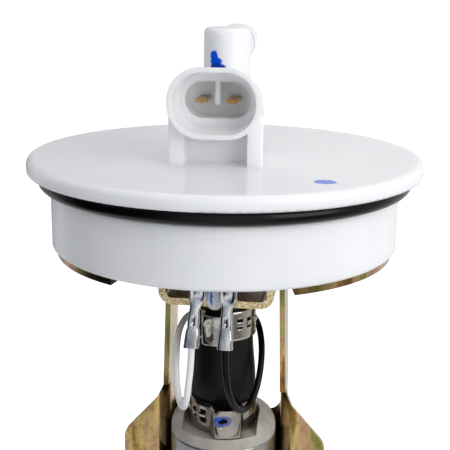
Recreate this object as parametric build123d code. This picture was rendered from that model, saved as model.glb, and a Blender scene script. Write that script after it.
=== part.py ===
"""In-tank fuel pump module: a round moulded flange with its plug socket and fuel outlet,
a pressed steel hanger below it, and a slim electric pump with its hose, leads and strainer.

Millimetres, +Z up. Origin: centre of the flange's sealing seat (the underside of its rim).
The plug socket opens towards -Y and the fuel outlet points to +Y.
"""
from build123d import *
import os
from math import atan2, cos, degrees, hypot, pi, radians, sin, sqrt, tan

os.makedirs("parts", exist_ok=True)

# ---- flange, spigot and seal -------------------------------------------------------------------
FLANGE_T = 4.0
RIM_ROUND = 1.8
RIM_BREAK = 0.8
SPIGOT_DEPTH = 21.0
SPIGOT_WALL = 4.0
SPIGOT_BREAK = 0.6       # chamfer on its lower edge
SPIGOT_DRAFT = 0.4       # the hollow is this much wider in radius at its mouth
SEAL_SECTION = 4.6
SEAL_LAND = 4.9          # height of the wall that carries the seal
SEAL_GROOVE = 1.1        # how far that wall lies inside the spigot's guiding part
SEAL_RECESS = 0.3        # depth of the step in the rim over the seal
SEAT_CLEAR = 0.3         # room outside the seal, within the rim
SEAT_WIDTH = 2.6         # the rim's flat ring that rests on the tank
ROOF_Z = 0.6             # underside of the flange inside the spigot
ROOT_Z = 1.2             # inside parts grow from here, within the plate

# ---- plug socket and its pedestal --------------------------------------------------------------
SOCKET_W = 24.3
SOCKET_H = 18.4
SOCKET_CORNER = 8.8
SOCKET_MOUTH_Y = -24.0
SOCKET_Z = 20.85
SOCKET_BACK_W = 20.6     # the shroud narrows and drops towards the boss
SOCKET_BACK_H = 18.0
SOCKET_BACK_Z = 17.4
SOCKET_LIP = 1.3
SOCKET_FLOOR_DEPTH = 8.0
SOCKET_DRAFT = 0.9
POCKET_W = 17.4
POCKET_H = 9.6
POCKET_DEPTH = 6.0
KEY_RIB_W = 1.2
KEY_RIB_DROP = 6.0
PEDESTAL_W = 25.0
PEDESTAL_BACK_W = 20.8
PEDESTAL_FRONT_Y = -20.0
PEDESTAL_LEG = 4.15
PEDESTAL_RECESS = 5.8

# ---- fuel outlet -------------------------------------------------------------------------------
FUEL_Y = 2.0
BOSS_R = 6.4
BOSS_TOP_Z = 38.6
BOSS_ROUND = 1.6
ARM_R = 5.6
ARM_Z = 32.9
ARM_REACH = 22.0
NIPPLE_R = 3.95
NIPPLE_LENGTH = 22.0
NIPPLE_BEAD_R = 5.1
NIPPLE_BEAD_AT = 15.0
FUEL_BORE_R = 2.6
ARM_ROUND = 1.0
GALLERY_Z = -1.6
GALLERY_HALF = 3.2
GALLERY_DROP = 3.6
GALLERY_ROUND = 2.2
TUBE_R = 4.3
TUBE_ROOT_R = 6.7
TUBE_ROOT_END_Z = -14.0
TUBE_START_Z = -18.0
TUBE_END_Z = -58.0
BARB_H = 0.3
BARB_PITCH = 3.2

# ---- contact blades ----------------------------------------------------------------------------
PIN_PITCH = 8.2
PIN_T = 0.8
PIN_W = 2.8
PIN_TIP_BACK = 5.0
PIN_DROP_Y = -8.0
PIN_JOG_Z = -4.0
BLADE_W = 4.1
BLADE_Y = -20.0
BLADE_END_Z = -33.0
BARRIER_W = 19.0
BARRIER_T = 7.0
BARRIER_END_Z = -21.0
POST_W = 3.9
POST_T = 2.0
POST_END_Z = -36.2

# ---- mounting plate ----------------------------------------------------------------------------
SHEET_T = 2.0
PLATE_INSET = 1.3
CHANNEL_HALF = 16.1
CHANNEL_DROP = 15.2
CHANNEL_FRONT_Y = -16.0
CHANNEL_BEND = 4.0
WING_GAP_TOP = 24.5
BOSS_POS_X = 31.0
BOSS_POS_Y = 22.0
SCREW_BOSS_R = 4.6
SCREW_R = 2.0
SCREW_LENGTH = 12.0
SCREW_HEAD_AF = 7.0
SCREW_HEAD_H = 3.0
SCREW_WASHER_R = 4.9
SCREW_WASHER_T = 0.9
SCREW_CLEAR = 0.25
TUBE_HOLE_R = 8.0

# ---- pump hanger -------------------------------------------------------------------------------
HANGER_TOP_Z = -24.6
LEAN_TOP_Z = -37.0
LEAN_END_Z = -68.0
HANGER_FRONT_Y = 3.5
CRADLE_GAP = 0.1         # beside the sleeve
BACK_GAP = 0.5           # behind the sleeve
HANGER_CORNER = 6.0
HANGER_T = 1.6
CHANNEL_BACK_Y = 15.0
WING_START_Z = -69.2
WING_HIP_Z = -74.0
WING_FULL_Z = -85.5
WING_BEND = 4.8
WING_HIP_STEP = 2.2      # how far the hips stand beside the cradle
WING_TAPER = 12.0        # height of the slope at the wings' lower ends
WING_CORNER = 5.0
WING_EDGE = 5.0          # from the strap's screws to the wings' edges
WING_END_Z = -126.0
WEB_TOP_Z = -88.0
WINDOW_HALF = 11.5
WINDOW_CORNER = 6.0
SHELF_GAP = 1.6
SHELF_HOLE_R = 7.6
SHELF_CORNER = 9.0
SHELF_FRONT = 3.0        # the shelf starts this far behind the pump's front
STRAP_SCREW_GAP = 3.0    # between the strap's band and its screws' washers
STRAP_SCREW_LENGTH = 9.0
STRAP_Z = -107.0
STRAP_W = 14.0
STRAP_T = 1.2
STRAP_CORNER = 3.0
NUT_H = 3.2

# ---- hose and its clamps -----------------------------------------------------------------------
HOSE_TOP_Z = -40.8
HOSE_END_Z = -78.4
HOSE_TOP_R = 8.7
HOSE_LOW_R = 9.4
HOSE_SWELL = 0.25
CLAMP_W = 8.6
CLAMP_T = 0.8
UPPER_CLAMP_Z = -45.4
LOWER_CLAMP_Z = -73.7
EAR_W = 8.2
EAR_H = 4.0
EAR_ROUND = 2.4
UPPER_EAR_DEG = -95.0
LOWER_EAR_DEG = -76.0
HOOK_DEGS = (41, 64, 87)  # from the ear, round the band
HOOK_W = 1.9
HOOK_H = 1.3
HOOK_UP = 0.6
WINDOW_H = 3.2

# ---- pump outside ------------------------------------------------------------------------------
PUMP_Y = 4.0
PUMP_R = 16.0
CAP_TOP_Z = -75.0
CAP_ROUND = 5.5
CAN_TOP_Z = -82.0
CAN_WALL = 1.0
CAN_END_Z = -138.0
SHELF_Z = CAN_END_Z - SHELF_GAP
POCKET_FLOOR_GAP = 0.3
POCKET_SIDE_GAP = 1.0
POCKET_FLOOR_Z = HOSE_END_Z - POCKET_FLOOR_GAP
SLEEVE_T = 0.9
SLEEVE_TOP_Z = -92.0
SLEEVE_END_Z = -128.0
PUMP_NIPPLE_TOP_Z = -62.0
CHECK_BORE_R = 2.9

# ---- pump inside -------------------------------------------------------------------------------
CAP_SPIGOT = 4.0
BRUSH_X = 6.0
BRUSH_SIDE = 3.0
BRUSH_LENGTH = 5.0
BRUSH_CLEAR = 0.1
BRUSH_SPRING_LENGTH = 6.0
COMMUTATOR_Z = -96.0
COMMUTATOR_T = 3.0
COMMUTATOR_R = 8.6
BRUSH_GAP = 0.02         # a brush rests this far off the commutator
BRUSH_REST_Z = COMMUTATOR_Z + BRUSH_GAP
BRUSH_HOLDER_END_Z = COMMUTATOR_Z + 1.6
BRUSH_HOLE_TOP_Z = COMMUTATOR_Z + BRUSH_LENGTH + BRUSH_SPRING_LENGTH
SEGMENTS = 8
CORE_GAP = 0.3
CORE_LENGTH = 16.5
CORE_R = 10.6
AIR_GAP = 0.6
SLOTS = 8
SLOT_R = 1.9
SLOT_AT_R = 7.3
WINDING_OVERHANG = 3.2
CORE_TOP_Z = COMMUTATOR_Z - COMMUTATOR_T - CORE_GAP - WINDING_OVERHANG
SHAFT_R = 1.5
SHAFT_CLEAR = 0.03
BUSH_H = 3.4
UPPER_BUSH_WALL = 1.2
LOWER_BUSH_WALL = 1.6
MAGNET_LENGTH = 24.0
MAGNET_SPAN = 128.0
MAGNET_WALL_GAP = 0.05
CHAMBER_TOP_Z = -125.0
CHAMBER_T = 4.5
IMPELLER_T = 3.6
IMPELLER_R = 12.6
IMPELLER_GAP = 0.12
SHAFT_END_Z = CHAMBER_TOP_Z - CHAMBER_T - IMPELLER_T - 2 * IMPELLER_GAP - 0.6
VANES = 30
VANE_DEPTH = 2.0
INLET_R = 5.2
INLET_DROP = 8.0

# ---- check valve -------------------------------------------------------------------------------
CHECK_SEAT_Z = -80.0
CHECK_R = 2.4
CHECK_STEM = 3.0
CHECK_SPRING_LENGTH = 6.0
CHECK_SPRING_LOW_Z = CHECK_SEAT_Z + 1.62
CHECK_STOP_Z = CHECK_SPRING_LOW_Z + CHECK_SPRING_LENGTH
CHECK_STOP_R = 1.3
CHECK_STOP_H = 1.6

# ---- pressure regulator ------------------------------------------------------------------------
REG_R = 10.0
REG_SHEET = 0.8
REG_NECK_R = 6.4
REG_SOCKET_WALL = 2.0
REG_TOP_Z = -3.5
REG_NECK_LENGTH = 8.5
REG_BODY_LENGTH = 8.0
REG_COVER_LENGTH = 11.0
REG_RIM_STEP = 1.0
REG_ARM_GAP = 3.8        # between the regulator and the hanger's arms
REG_SEAL_SECTION = 1.6
REG_CLIP_T = 0.8
REG_CLIP_H = 4.0
REG_CLEAR = 0.1
REG_WALL_GAP = 0.2       # between the regulator's crimp and the spigot's inside
REG_SEAT_R = 1.6
REG_SEAT_LIFT = 2.4
REG_VALVE_R = 4.6
REG_SOCKET_END_Z = REG_TOP_Z - REG_NECK_LENGTH + 0.6
REG_NECK_END_Z = REG_TOP_Z - REG_NECK_LENGTH
REG_BODY_END_Z = REG_NECK_END_Z - REG_BODY_LENGTH
REG_COVER_END_Z = REG_BODY_END_Z - REG_COVER_LENGTH
REG_GROOVE_R = REG_NECK_R + REG_CLEAR - REG_SEAL_SECTION
REG_NECK_BORE_R = REG_GROOVE_R - REG_SHEET

# ---- strainer ----------------------------------------------------------------------------------
SOCK_LENGTH = 58.0
SOCK_WIDTH = 33.0
SOCK_T = 9.0
SOCK_Y = 1.0
COLLAR_WALL = 1.6
COLLAR_UP = 2.6
COLLAR_DOWN = 0.6
COLLAR_LIP = 2.2
COLLAR_LIP_T = 1.3
SOCK_TOP_Z = CAN_END_Z - INLET_DROP + 0.9
SOCK_GRIP = 0.9          # the collar reaches this far into the bag

# ---- leads and plug ----------------------------------------------------------------------------
LEAD_R = 0.95
PLUG_W = 15.0
PLUG_D = 6.4
PLUG_H = 10.0
PLUG_Y = 16.0
PLUG_LEAD_X = 3.8
PLUG_BLADE_W = 2.8
PLUG_BLADE_T = 0.8
PLUG_BLADE_UP = 6.0
PLUG_BLADE_DOWN = 8.0
TERMINAL_TOP_Z = -25.4
TERMINAL_T = 0.4
BOX_W = BLADE_W + 2 * TERMINAL_T + 0.2
BOX_D = 2.9
BOX_H = 7.6
NECK_W = 3.2
NECK_T = 1.6
NECK_H = 3.0
GRIP_D = 2.4
GRIP_END_W = 4.0
GRIP_END_D = 3.2
CRIMP_END_Z = -46.6
TERMINAL_LEANS = (-1.9, -0.8)   # how far each lower end stands to the side

# ---- radii and places that follow, from the pump outwards to the flange ------------------------
CLAMP_POCKET_R = HOSE_LOW_R + CLAMP_T + POCKET_SIDE_GAP
CRADLE_HALF = PUMP_R + SLEEVE_T + CRADLE_GAP
STRAP_SCREW_X = PUMP_R + SLEEVE_T + STRAP_T + STRAP_SCREW_GAP + SCREW_WASHER_R
WING_HIP_X = CRADLE_HALF + HANGER_T + WING_HIP_STEP
WING_HALF = STRAP_SCREW_X + WING_EDGE
HANGER_BACK_Y = PUMP_Y + PUMP_R + SLEEVE_T + BACK_GAP + HANGER_T
ARM_BACK_Y = CHANNEL_BACK_Y + HANGER_T    # the arms are flat strips, from the front edge to here
REG_RIM_R = REG_R + REG_RIM_STEP
REG_Y = ARM_BACK_Y + REG_ARM_GAP + REG_RIM_R + REG_SHEET
INSIDE_R = REG_Y + REG_RIM_R + REG_SHEET + REG_WALL_GAP + SPIGOT_DRAFT
SPIGOT_R = INSIDE_R + SPIGOT_WALL
PLATE_R = SPIGOT_R - PLATE_INSET
SEAT_INNER_R = SPIGOT_R - SEAL_GROOVE + SEAL_SECTION + SEAT_CLEAR
FLANGE_R = SEAT_INNER_R + SEAT_WIDTH


def at(z, y=0.0, x=0.0):
    return Pos(x, y, z)


def tube(outer_r, inner_r, low_z, high_z, y=0.0, x=0.0):
    """A plain ring between two heights."""
    height = high_z - low_z
    ring = Cylinder(outer_r, height) - Cylinder(inner_r, height * 2)
    return Pos(x, y, (low_z + high_z) / 2) * ring


def rod(r, low_z, high_z, y=0.0, x=0.0):
    return Pos(x, y, (low_z + high_z) / 2) * Cylinder(r, high_z - low_z)


def block(x0, x1, y0, y1, z0, z1):
    return Pos((x0 + x1) / 2, (y0 + y1) / 2, (z0 + z1) / 2) * Box(x1 - x0, y1 - y0, z1 - z0)


def turned(points, y=0.0, x=0.0):
    """A solid of revolution about a vertical axis from an (r, z) outline."""
    outline = make_face(Plane.XZ * Polyline(*points, close=True))
    return Pos(x, y, 0) * revolve(outline, Axis.Z)


def oval(width, height, corner, y, z=SOCKET_Z):
    """A rounded rectangle that faces -Y, on the plug socket's centre line unless told otherwise."""
    plane = Plane(origin=(0, y, z), x_dir=(1, 0, 0), z_dir=(0, -1, 0))
    return plane * RectangleRounded(width, height, min(corner, height / 2 - 0.01))


def coil(radius, wire_r, length, turns, low_z, y=0.0, x=0.0):
    """A compression spring that stands on low_z."""
    pitch = (length - 2 * wire_r) / turns
    helix = Helix(pitch, pitch * turns, radius)
    start = Plane(origin=helix @ 0, z_dir=helix % 0)
    spring = sweep(start * Circle(wire_r), path=helix)
    return Pos(x, y, low_z + wire_r) * spring


def barb_points(base_r, low_z, high_z, upwards):
    """Outline of a barbed tube end: saw teeth from high_z down to low_z, or mirrored."""
    points = []
    count = max(1, int((high_z - low_z) / BARB_PITCH))
    step = (high_z - low_z) / count
    for i in range(count):
        top = high_z - i * step
        if upwards:
            points += [(base_r, top), (base_r + BARB_H, top - step * 0.75), (base_r + BARB_H, top - step)]
        else:
            points += [(base_r + BARB_H, top), (base_r + BARB_H, top - step * 0.25), (base_r, top - step)]
    return points


# ---- flange ------------------------------------------------------------------------------------

def flange_disc():
    land_r = SPIGOT_R - SEAL_GROOVE
    outline = Polyline(
        (0, FLANGE_T), (FLANGE_R, FLANGE_T), (FLANGE_R, 0), (SEAT_INNER_R, 0), (SEAT_INNER_R, SEAL_RECESS),
        (land_r, SEAL_RECESS), (land_r, -SEAL_LAND), (SPIGOT_R, -SEAL_LAND),
        (SPIGOT_R, SPIGOT_BREAK - SPIGOT_DEPTH),
        (SPIGOT_R - SPIGOT_BREAK, -SPIGOT_DEPTH), (INSIDE_R, -SPIGOT_DEPTH),
        (INSIDE_R - SPIGOT_DRAFT, ROOF_Z), (0, ROOF_Z), close=True)
    face = make_face(Plane.XZ * outline)
    rim_top = face.vertices().sort_by(Axis.X)[-2:].sort_by(Axis.Z)
    face = fillet(rim_top[-1], RIM_ROUND)
    rim_low = face.vertices().filter_by(lambda v: abs(v.X - FLANGE_R) < 0.001).sort_by(Axis.Z)[0]
    face = fillet(rim_low, RIM_BREAK)
    return revolve(face, Axis.Z)


def socket_body():
    """Oval shroud, its pedestal legs and the recessed web between them."""
    shroud = loft([
        oval(SOCKET_W, SOCKET_H, SOCKET_CORNER, SOCKET_MOUTH_Y),
        oval(SOCKET_BACK_W, SOCKET_BACK_H, SOCKET_BACK_H / 2, FUEL_Y, SOCKET_BACK_Z)])
    half, back = PEDESTAL_W / 2, PEDESTAL_BACK_W / 2
    plan = make_face(Polyline((-half, PEDESTAL_FRONT_Y), (half, PEDESTAL_FRONT_Y), (back, FUEL_Y),
                              (-back, FUEL_Y), close=True))
    pedestal = at(FLANGE_T - 1) * extrude(fillet(plan.vertices(), 0.5), SOCKET_BACK_Z - FLANGE_T + 1)
    inner = half - PEDESTAL_LEG
    recess = block(-inner, inner, PEDESTAL_FRONT_Y - 5, PEDESTAL_FRONT_Y + PEDESTAL_RECESS,
                   FLANGE_T, SOCKET_Z)
    return (pedestal - recess) + shroud


def socket_hollow():
    """Tapered mouth, stadium pocket behind it, less the key rib."""
    floor_y = SOCKET_MOUTH_Y + SOCKET_FLOOR_DEPTH
    wide = SOCKET_W - 2 * SOCKET_LIP
    high = SOCKET_H - 2 * SOCKET_LIP
    mouth = loft([
        oval(wide, high, SOCKET_CORNER - SOCKET_LIP, SOCKET_MOUTH_Y - 0.01),
        oval(wide - 2 * SOCKET_DRAFT, high - 2 * SOCKET_DRAFT, SOCKET_CORNER - SOCKET_LIP - SOCKET_DRAFT,
             floor_y)])
    pocket = extrude(oval(POCKET_W, POCKET_H, POCKET_H / 2, floor_y), -POCKET_DEPTH)
    top = SOCKET_Z + POCKET_H / 2
    rib = block(-KEY_RIB_W / 2, KEY_RIB_W / 2, floor_y, floor_y + POCKET_DEPTH, top - KEY_RIB_DROP, top)
    return mouth + (pocket - rib)


def outlet():
    """Vertical boss, horizontal arm and the quick-connect nipple at its end."""
    boss = rod(BOSS_R, FLANGE_T - 1, BOSS_TOP_Z, FUEL_Y)
    boss = fillet(boss.edges().sort_by(Axis.Z)[-1], BOSS_ROUND)
    along_y = Plane(origin=(0, FUEL_Y, ARM_Z), x_dir=(1, 0, 0), z_dir=(0, 1, 0))
    arm = extrude(along_y * Circle(ARM_R), ARM_REACH)
    arm = fillet(arm.edges().sort_by(Axis.Y)[-1], ARM_ROUND)
    end = ARM_REACH
    tip = end + NIPPLE_LENGTH
    bead = end + NIPPLE_LENGTH - NIPPLE_BEAD_AT
    outline = Polyline((0, end - 1), (NIPPLE_R, end - 1), (NIPPLE_R, bead - 1.2), (NIPPLE_BEAD_R, bead - 0.7),
                       (NIPPLE_BEAD_R, bead + 0.7), (NIPPLE_R, bead + 1.2), (NIPPLE_R, tip - 1.0),
                       (NIPPLE_R - 0.8, tip), (0, tip), close=True)
    nipple = revolve(make_face(Plane.XZ * outline), Axis.Z)
    nipple = Pos(0, FUEL_Y, ARM_Z) * Rot(-90, 0, 0) * nipple
    return boss + arm + nipple


def lower_tube():
    """Barbed tube that the hose is pushed on, with its root boss inside the spigot."""
    points = [(0, ROOT_Z), (TUBE_ROOT_R, ROOT_Z), (TUBE_ROOT_R, TUBE_ROOT_END_Z), (TUBE_R, TUBE_START_Z),
              (TUBE_R, TUBE_END_Z + 13.0)]
    points += barb_points(TUBE_R, TUBE_END_Z + 1.2, TUBE_END_Z + 11.0, upwards=False)
    points += [(TUBE_R - 0.6, TUBE_END_Z), (0, TUBE_END_Z)]
    return turned(points, FUEL_Y)


def fuel_passages():
    bore = rod(FUEL_BORE_R, TUBE_END_Z - 1, ARM_Z, FUEL_Y) + Pos(0, FUEL_Y, ARM_Z) * Sphere(FUEL_BORE_R)
    along_y = Plane(origin=(0, FUEL_Y, ARM_Z), x_dir=(1, 0, 0), z_dir=(0, 1, 0))
    bore += extrude(along_y * Circle(FUEL_BORE_R), ARM_REACH + NIPPLE_LENGTH + 1)
    to_regulator = Plane(origin=(0, FUEL_Y, GALLERY_Z), x_dir=(1, 0, 0), z_dir=(0, 1, 0))
    return bore + extrude(to_regulator * Circle(FUEL_BORE_R * 0.7), REG_Y - FUEL_Y)


def regulator_socket():
    """Cup for the regulator's neck and the gallery that feeds it."""
    outer = REG_NECK_R + REG_CLEAR + REG_SOCKET_WALL
    cup = rod(outer, REG_SOCKET_END_Z, ROOT_Z, REG_Y)
    gallery = block(-GALLERY_HALF, GALLERY_HALF, FUEL_Y, REG_Y, GALLERY_Z - GALLERY_DROP, ROOT_Z)
    gallery = fillet(gallery.edges().filter_by(Axis.Y).group_by(Axis.Z)[0], GALLERY_ROUND)
    return cup + gallery


def screw_places():
    return [(sx * BOSS_POS_X, sy * BOSS_POS_Y) for sx in (-1, 1) for sy in (-1, 1)]


def inside_ribs():
    """Screw bosses with the ribs that tie them to the spigot wall."""
    bosses = None
    reach = SPIGOT_R - SPIGOT_WALL / 2
    for x, y in screw_places():
        boss = rod(SCREW_BOSS_R, -SPIGOT_DEPTH, ROOT_Z, y, x)
        angle = degrees(atan2(y, x))
        start = hypot(x, y)
        rib = Rot(0, 0, angle) * block(start, reach - 0.6, -1.0, 1.0, -SPIGOT_DEPTH + 3, ROOT_Z)
        bosses = boss + rib if bosses is None else bosses + boss + rib
    return bosses


def terminal_barrier():
    """Block the contacts come out of, with a round-ended post between the two terminals."""
    half = BARRIER_W / 2
    body = block(-half, half, BLADE_Y - BARRIER_T / 2, BLADE_Y + BARRIER_T / 2, BARRIER_END_Z, ROOT_Z)
    back = block(-half, half, BLADE_Y, PIN_DROP_Y + 2.0, PIN_JOG_Z - 2.4, ROOT_Z)
    post_back = BLADE_Y + BARRIER_T / 2
    post = block(-POST_W / 2, POST_W / 2, post_back - POST_T, post_back, POST_END_Z, BARRIER_END_Z + 1)
    post = fillet(post.edges().filter_by(Axis.Y).group_by(Axis.Z)[0], POST_W * 0.45)
    return fillet(body.edges().filter_by(Axis.Z), 1.5) + back + post


def flange(pins):
    body = flange_disc() + socket_body() + outlet() + lower_tube() + regulator_socket() + inside_ribs()
    body += terminal_barrier()
    body -= socket_hollow()
    body -= fuel_passages()
    neck_bore = rod(REG_NECK_R + REG_CLEAR, REG_SOCKET_END_Z - 1, REG_TOP_Z, REG_Y)
    body -= neck_bore
    for x, y in screw_places():
        body -= rod(SCREW_R, -SPIGOT_DEPTH - 1, -SPIGOT_DEPTH + SCREW_LENGTH, y, x)
    for pin in pins:
        body -= pin
    return body


def tank_seal():
    ring_r = SPIGOT_R - SEAL_GROOVE + SEAL_SECTION / 2
    return at(SEAL_RECESS - SEAL_SECTION / 2) * Torus(ring_r, SEAL_SECTION / 2)


def contact_pin(x):
    """One stamped blade: socket tab, drop through the pedestal, jog forward and push-on tab."""
    t = PIN_T / 2
    tip = SOCKET_MOUTH_Y + PIN_TIP_BACK
    tab = block(x - PIN_W / 2, x + PIN_W / 2, tip, PIN_DROP_Y + t, SOCKET_Z - t, SOCKET_Z + t)
    tab = chamfer(tab.edges().group_by(Axis.Y)[0].filter_by(Axis.X), 0.3)
    drop = block(x - PIN_W / 2, x + PIN_W / 2, PIN_DROP_Y - t, PIN_DROP_Y + t, PIN_JOG_Z - t, SOCKET_Z + t)
    jog = block(x - PIN_W / 2, x + PIN_W / 2, BLADE_Y - t, PIN_DROP_Y + t, PIN_JOG_Z - t, PIN_JOG_Z + t)
    blade = block(x - BLADE_W / 2, x + BLADE_W / 2, BLADE_Y - t, BLADE_Y + t, BLADE_END_Z, PIN_JOG_Z + t)
    blade = chamfer(blade.edges().group_by(Axis.Z)[0].filter_by(Axis.Y), 1.0)
    return tab + drop + jog + blade


# ---- mounting plate and hanger -----------------------------------------------------------------

def mounting_plate():
    top = -SPIGOT_DEPTH
    wall = CHANNEL_HALF - SHEET_T
    floor = top - CHANNEL_DROP + SHEET_T
    path = [(-60, top - SHEET_T), (-CHANNEL_HALF, top - SHEET_T), (-CHANNEL_HALF, floor - SHEET_T),
            (CHANNEL_HALF, floor - SHEET_T), (CHANNEL_HALF, top - SHEET_T), (60, top - SHEET_T)]
    outer = FilletPolyline(*path, radius=[1.2, CHANNEL_BEND, CHANNEL_BEND, 1.2])
    inner_path = [(60, top), (wall, top), (wall, floor), (-wall, floor), (-wall, top), (-60, top)]
    inner_bend = CHANNEL_BEND - SHEET_T
    inner = FilletPolyline(*inner_path, radius=[1.2 + SHEET_T, inner_bend, inner_bend, 1.2 + SHEET_T])
    ends = [Line(path[-1], inner_path[0]), Line(inner_path[-1], path[0])]
    section = make_face(Plane.XZ * Curve([outer, inner] + ends))
    sheet = extrude(section, 60, both=True)
    sheet &= rod(PLATE_R, top - CHANNEL_DROP - 5, top + 1)
    sheet &= channel_outline()
    sheet -= rod(TUBE_HOLE_R, floor - 10, floor + 10, FUEL_Y)
    for x, y in screw_places():
        sheet -= rod(SCREW_R + SCREW_CLEAR, top - 5, top + 1, y, x)
    return sheet


def channel_outline():
    """Plan view of the plate: wings either side, short channel in the middle."""
    edge = CHANNEL_HALF + 2.5
    front_y = -sqrt(PLATE_R ** 2 - WING_GAP_TOP ** 2) - 8
    plan = Polyline((-60, front_y), (-WING_GAP_TOP, front_y), (-edge, CHANNEL_FRONT_Y - 4),
                    (-edge + 1.4, CHANNEL_FRONT_Y), (edge - 1.4, CHANNEL_FRONT_Y),
                    (edge, CHANNEL_FRONT_Y - 4), (WING_GAP_TOP, front_y), (60, front_y), (60, 60),
                    (edge + 4, 60), (edge, CHANNEL_BACK_Y + 4), (edge - 1.4, CHANNEL_BACK_Y),
                    (-edge + 1.4, CHANNEL_BACK_Y), (-edge, CHANNEL_BACK_Y + 4), (-edge - 4, 60), (-60, 60),
                    close=True)
    return Pos(0, 0, -80) * extrude(make_face(plan), 100)


def hanger_section(half):
    """Plan outline of the open-fronted channel: inner half width, walls and rounded back corners."""
    back = HANGER_BACK_Y
    outer = half + HANGER_T
    out_line = FilletPolyline((outer, HANGER_FRONT_Y), (outer, back), (-outer, back),
                              (-outer, HANGER_FRONT_Y), radius=HANGER_CORNER)
    in_line = FilletPolyline((-half, HANGER_FRONT_Y), (-half, back - HANGER_T), (half, back - HANGER_T),
                             (half, HANGER_FRONT_Y), radius=HANGER_CORNER - HANGER_T)
    ends = [Line((-outer, HANGER_FRONT_Y), (-half, HANGER_FRONT_Y)),
            Line((half, HANGER_FRONT_Y), (outer, HANGER_FRONT_Y))]
    return make_face(Curve([out_line, in_line] + ends))


def hanger_wing(side):
    """Front flange of the cradle: bent outwards from the side wall, flaring as it goes down."""
    half = CRADLE_HALF
    outer = half + HANGER_T
    wall_y = HANGER_FRONT_Y + WING_BEND + 3.0
    plan = FilletPolyline((half, wall_y), (half, HANGER_FRONT_Y), (WING_HALF, HANGER_FRONT_Y),
                          radius=WING_BEND)
    twin = FilletPolyline((WING_HALF, HANGER_FRONT_Y + HANGER_T), (outer, HANGER_FRONT_Y + HANGER_T),
                          (outer, wall_y), radius=WING_BEND - HANGER_T)
    ends = [Line((WING_HALF, HANGER_FRONT_Y), (WING_HALF, HANGER_FRONT_Y + HANGER_T)),
            Line((outer, wall_y), (half, wall_y))]
    section = make_face(Curve([plan, twin] + ends))
    low = SHELF_Z - HANGER_T
    wing = at(low) * extrude(section, WING_START_Z - low)
    mask = Polyline((half - 1, WING_START_Z), (outer, WING_START_Z), (WING_HIP_X, WING_HIP_Z),
                    (WING_HALF, WING_FULL_Z), (WING_HALF, WING_END_Z), (outer, WING_END_Z - WING_TAPER),
                    (outer, low), (half - 1, low), close=True)
    face = make_face(Plane.XZ * mask)
    corners = face.vertices().filter_by(lambda v: abs(v.X - WING_HALF) < 0.01)
    face = fillet(corners, WING_CORNER)
    wing &= extrude(face, 40, both=True)
    if side < 0:
        wing = mirror(wing, Plane.YZ)
    return wing


def open_back():
    """What is missing of the hanger's back: it leaves two flat arms above the cradle."""
    back = HANGER_BACK_Y + 1
    profile = Polyline((ARM_BACK_Y, LEAN_TOP_Z - 4), (back, LEAN_TOP_Z + 3), (60, LEAN_TOP_Z + 3),
                       (60, WEB_TOP_Z), (back, WEB_TOP_Z), (ARM_BACK_Y, WING_HIP_Z), close=True)
    gap = extrude(make_face(Plane.YZ * profile), 60, both=True)
    window = make_face(Polyline((-WINDOW_HALF, 0), (WINDOW_HALF, 0), (WINDOW_HALF, WEB_TOP_Z),
                                (-WINDOW_HALF, WEB_TOP_Z), close=True))
    window = fillet(window.vertices().sort_by(Axis.Y)[:2], WINDOW_CORNER)
    return gap + Pos(0, 60, 0) * extrude(Plane.XZ * window, 60)


def pump_hanger():
    tab = at(LEAN_TOP_Z) * extrude(hanger_section(CHANNEL_HALF), HANGER_TOP_Z - LEAN_TOP_Z)
    lean = loft([at(LEAN_END_Z) * hanger_section(CRADLE_HALF), at(LEAN_TOP_Z) * hanger_section(CHANNEL_HALF)],
                ruled=True)
    bottom = SHELF_Z - HANGER_T
    trough = at(bottom) * extrude(hanger_section(CRADLE_HALF), LEAN_END_Z - bottom)
    body = tab + lean + trough - open_back()
    body -= block(-60, 60, -20, HANGER_FRONT_Y + WING_BEND + 0.4, bottom - 1, WING_START_Z)
    body += hanger_wing(1) + hanger_wing(-1)
    shelf = block(-CRADLE_HALF, CRADLE_HALF, PUMP_Y - PUMP_R + SHELF_FRONT, HANGER_BACK_Y - HANGER_T,
                  bottom, SHELF_Z)
    shelf = fillet(shelf.edges().filter_by(Axis.Z).group_by(Axis.Y)[0], SHELF_CORNER)
    body += shelf
    body -= rod(SHELF_HOLE_R, bottom - 1, SHELF_Z + 1, PUMP_Y)
    for x in (-STRAP_SCREW_X, STRAP_SCREW_X):
        body -= Pos(x, HANGER_FRONT_Y, STRAP_Z) * Rot(90, 0, 0) * Cylinder(SCREW_R + SCREW_CLEAR, 10)
    return body


def retaining_strap():
    """Half band round the front of the pump, with an ear screwed to each cradle flange."""
    inner = PUMP_R + SLEEVE_T
    outer = inner + STRAP_T
    low = STRAP_Z - STRAP_W / 2
    high = STRAP_Z + STRAP_W / 2
    band = tube(outer, inner, low, high, PUMP_Y)
    band &= block(-40, 40, -40, HANGER_FRONT_Y, low, high)
    ears = None
    for side in (-1, 1):
        x0, x1 = sorted((side * (inner + 0.2), side * WING_HALF))
        ear = block(x0, x1, HANGER_FRONT_Y - STRAP_T, HANGER_FRONT_Y, low, high)
        tips = ear.edges().filter_by(Axis.Y).sort_by(lambda e: abs(e.center().X))[-2:]
        ear = fillet(tips, STRAP_CORNER)
        ear -= Pos(side * STRAP_SCREW_X, HANGER_FRONT_Y, STRAP_Z) * Rot(90, 0, 0) * Cylinder(
            SCREW_R + SCREW_CLEAR, 10)
        ears = ear if ears is None else ears + ear
    return band + ears


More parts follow.
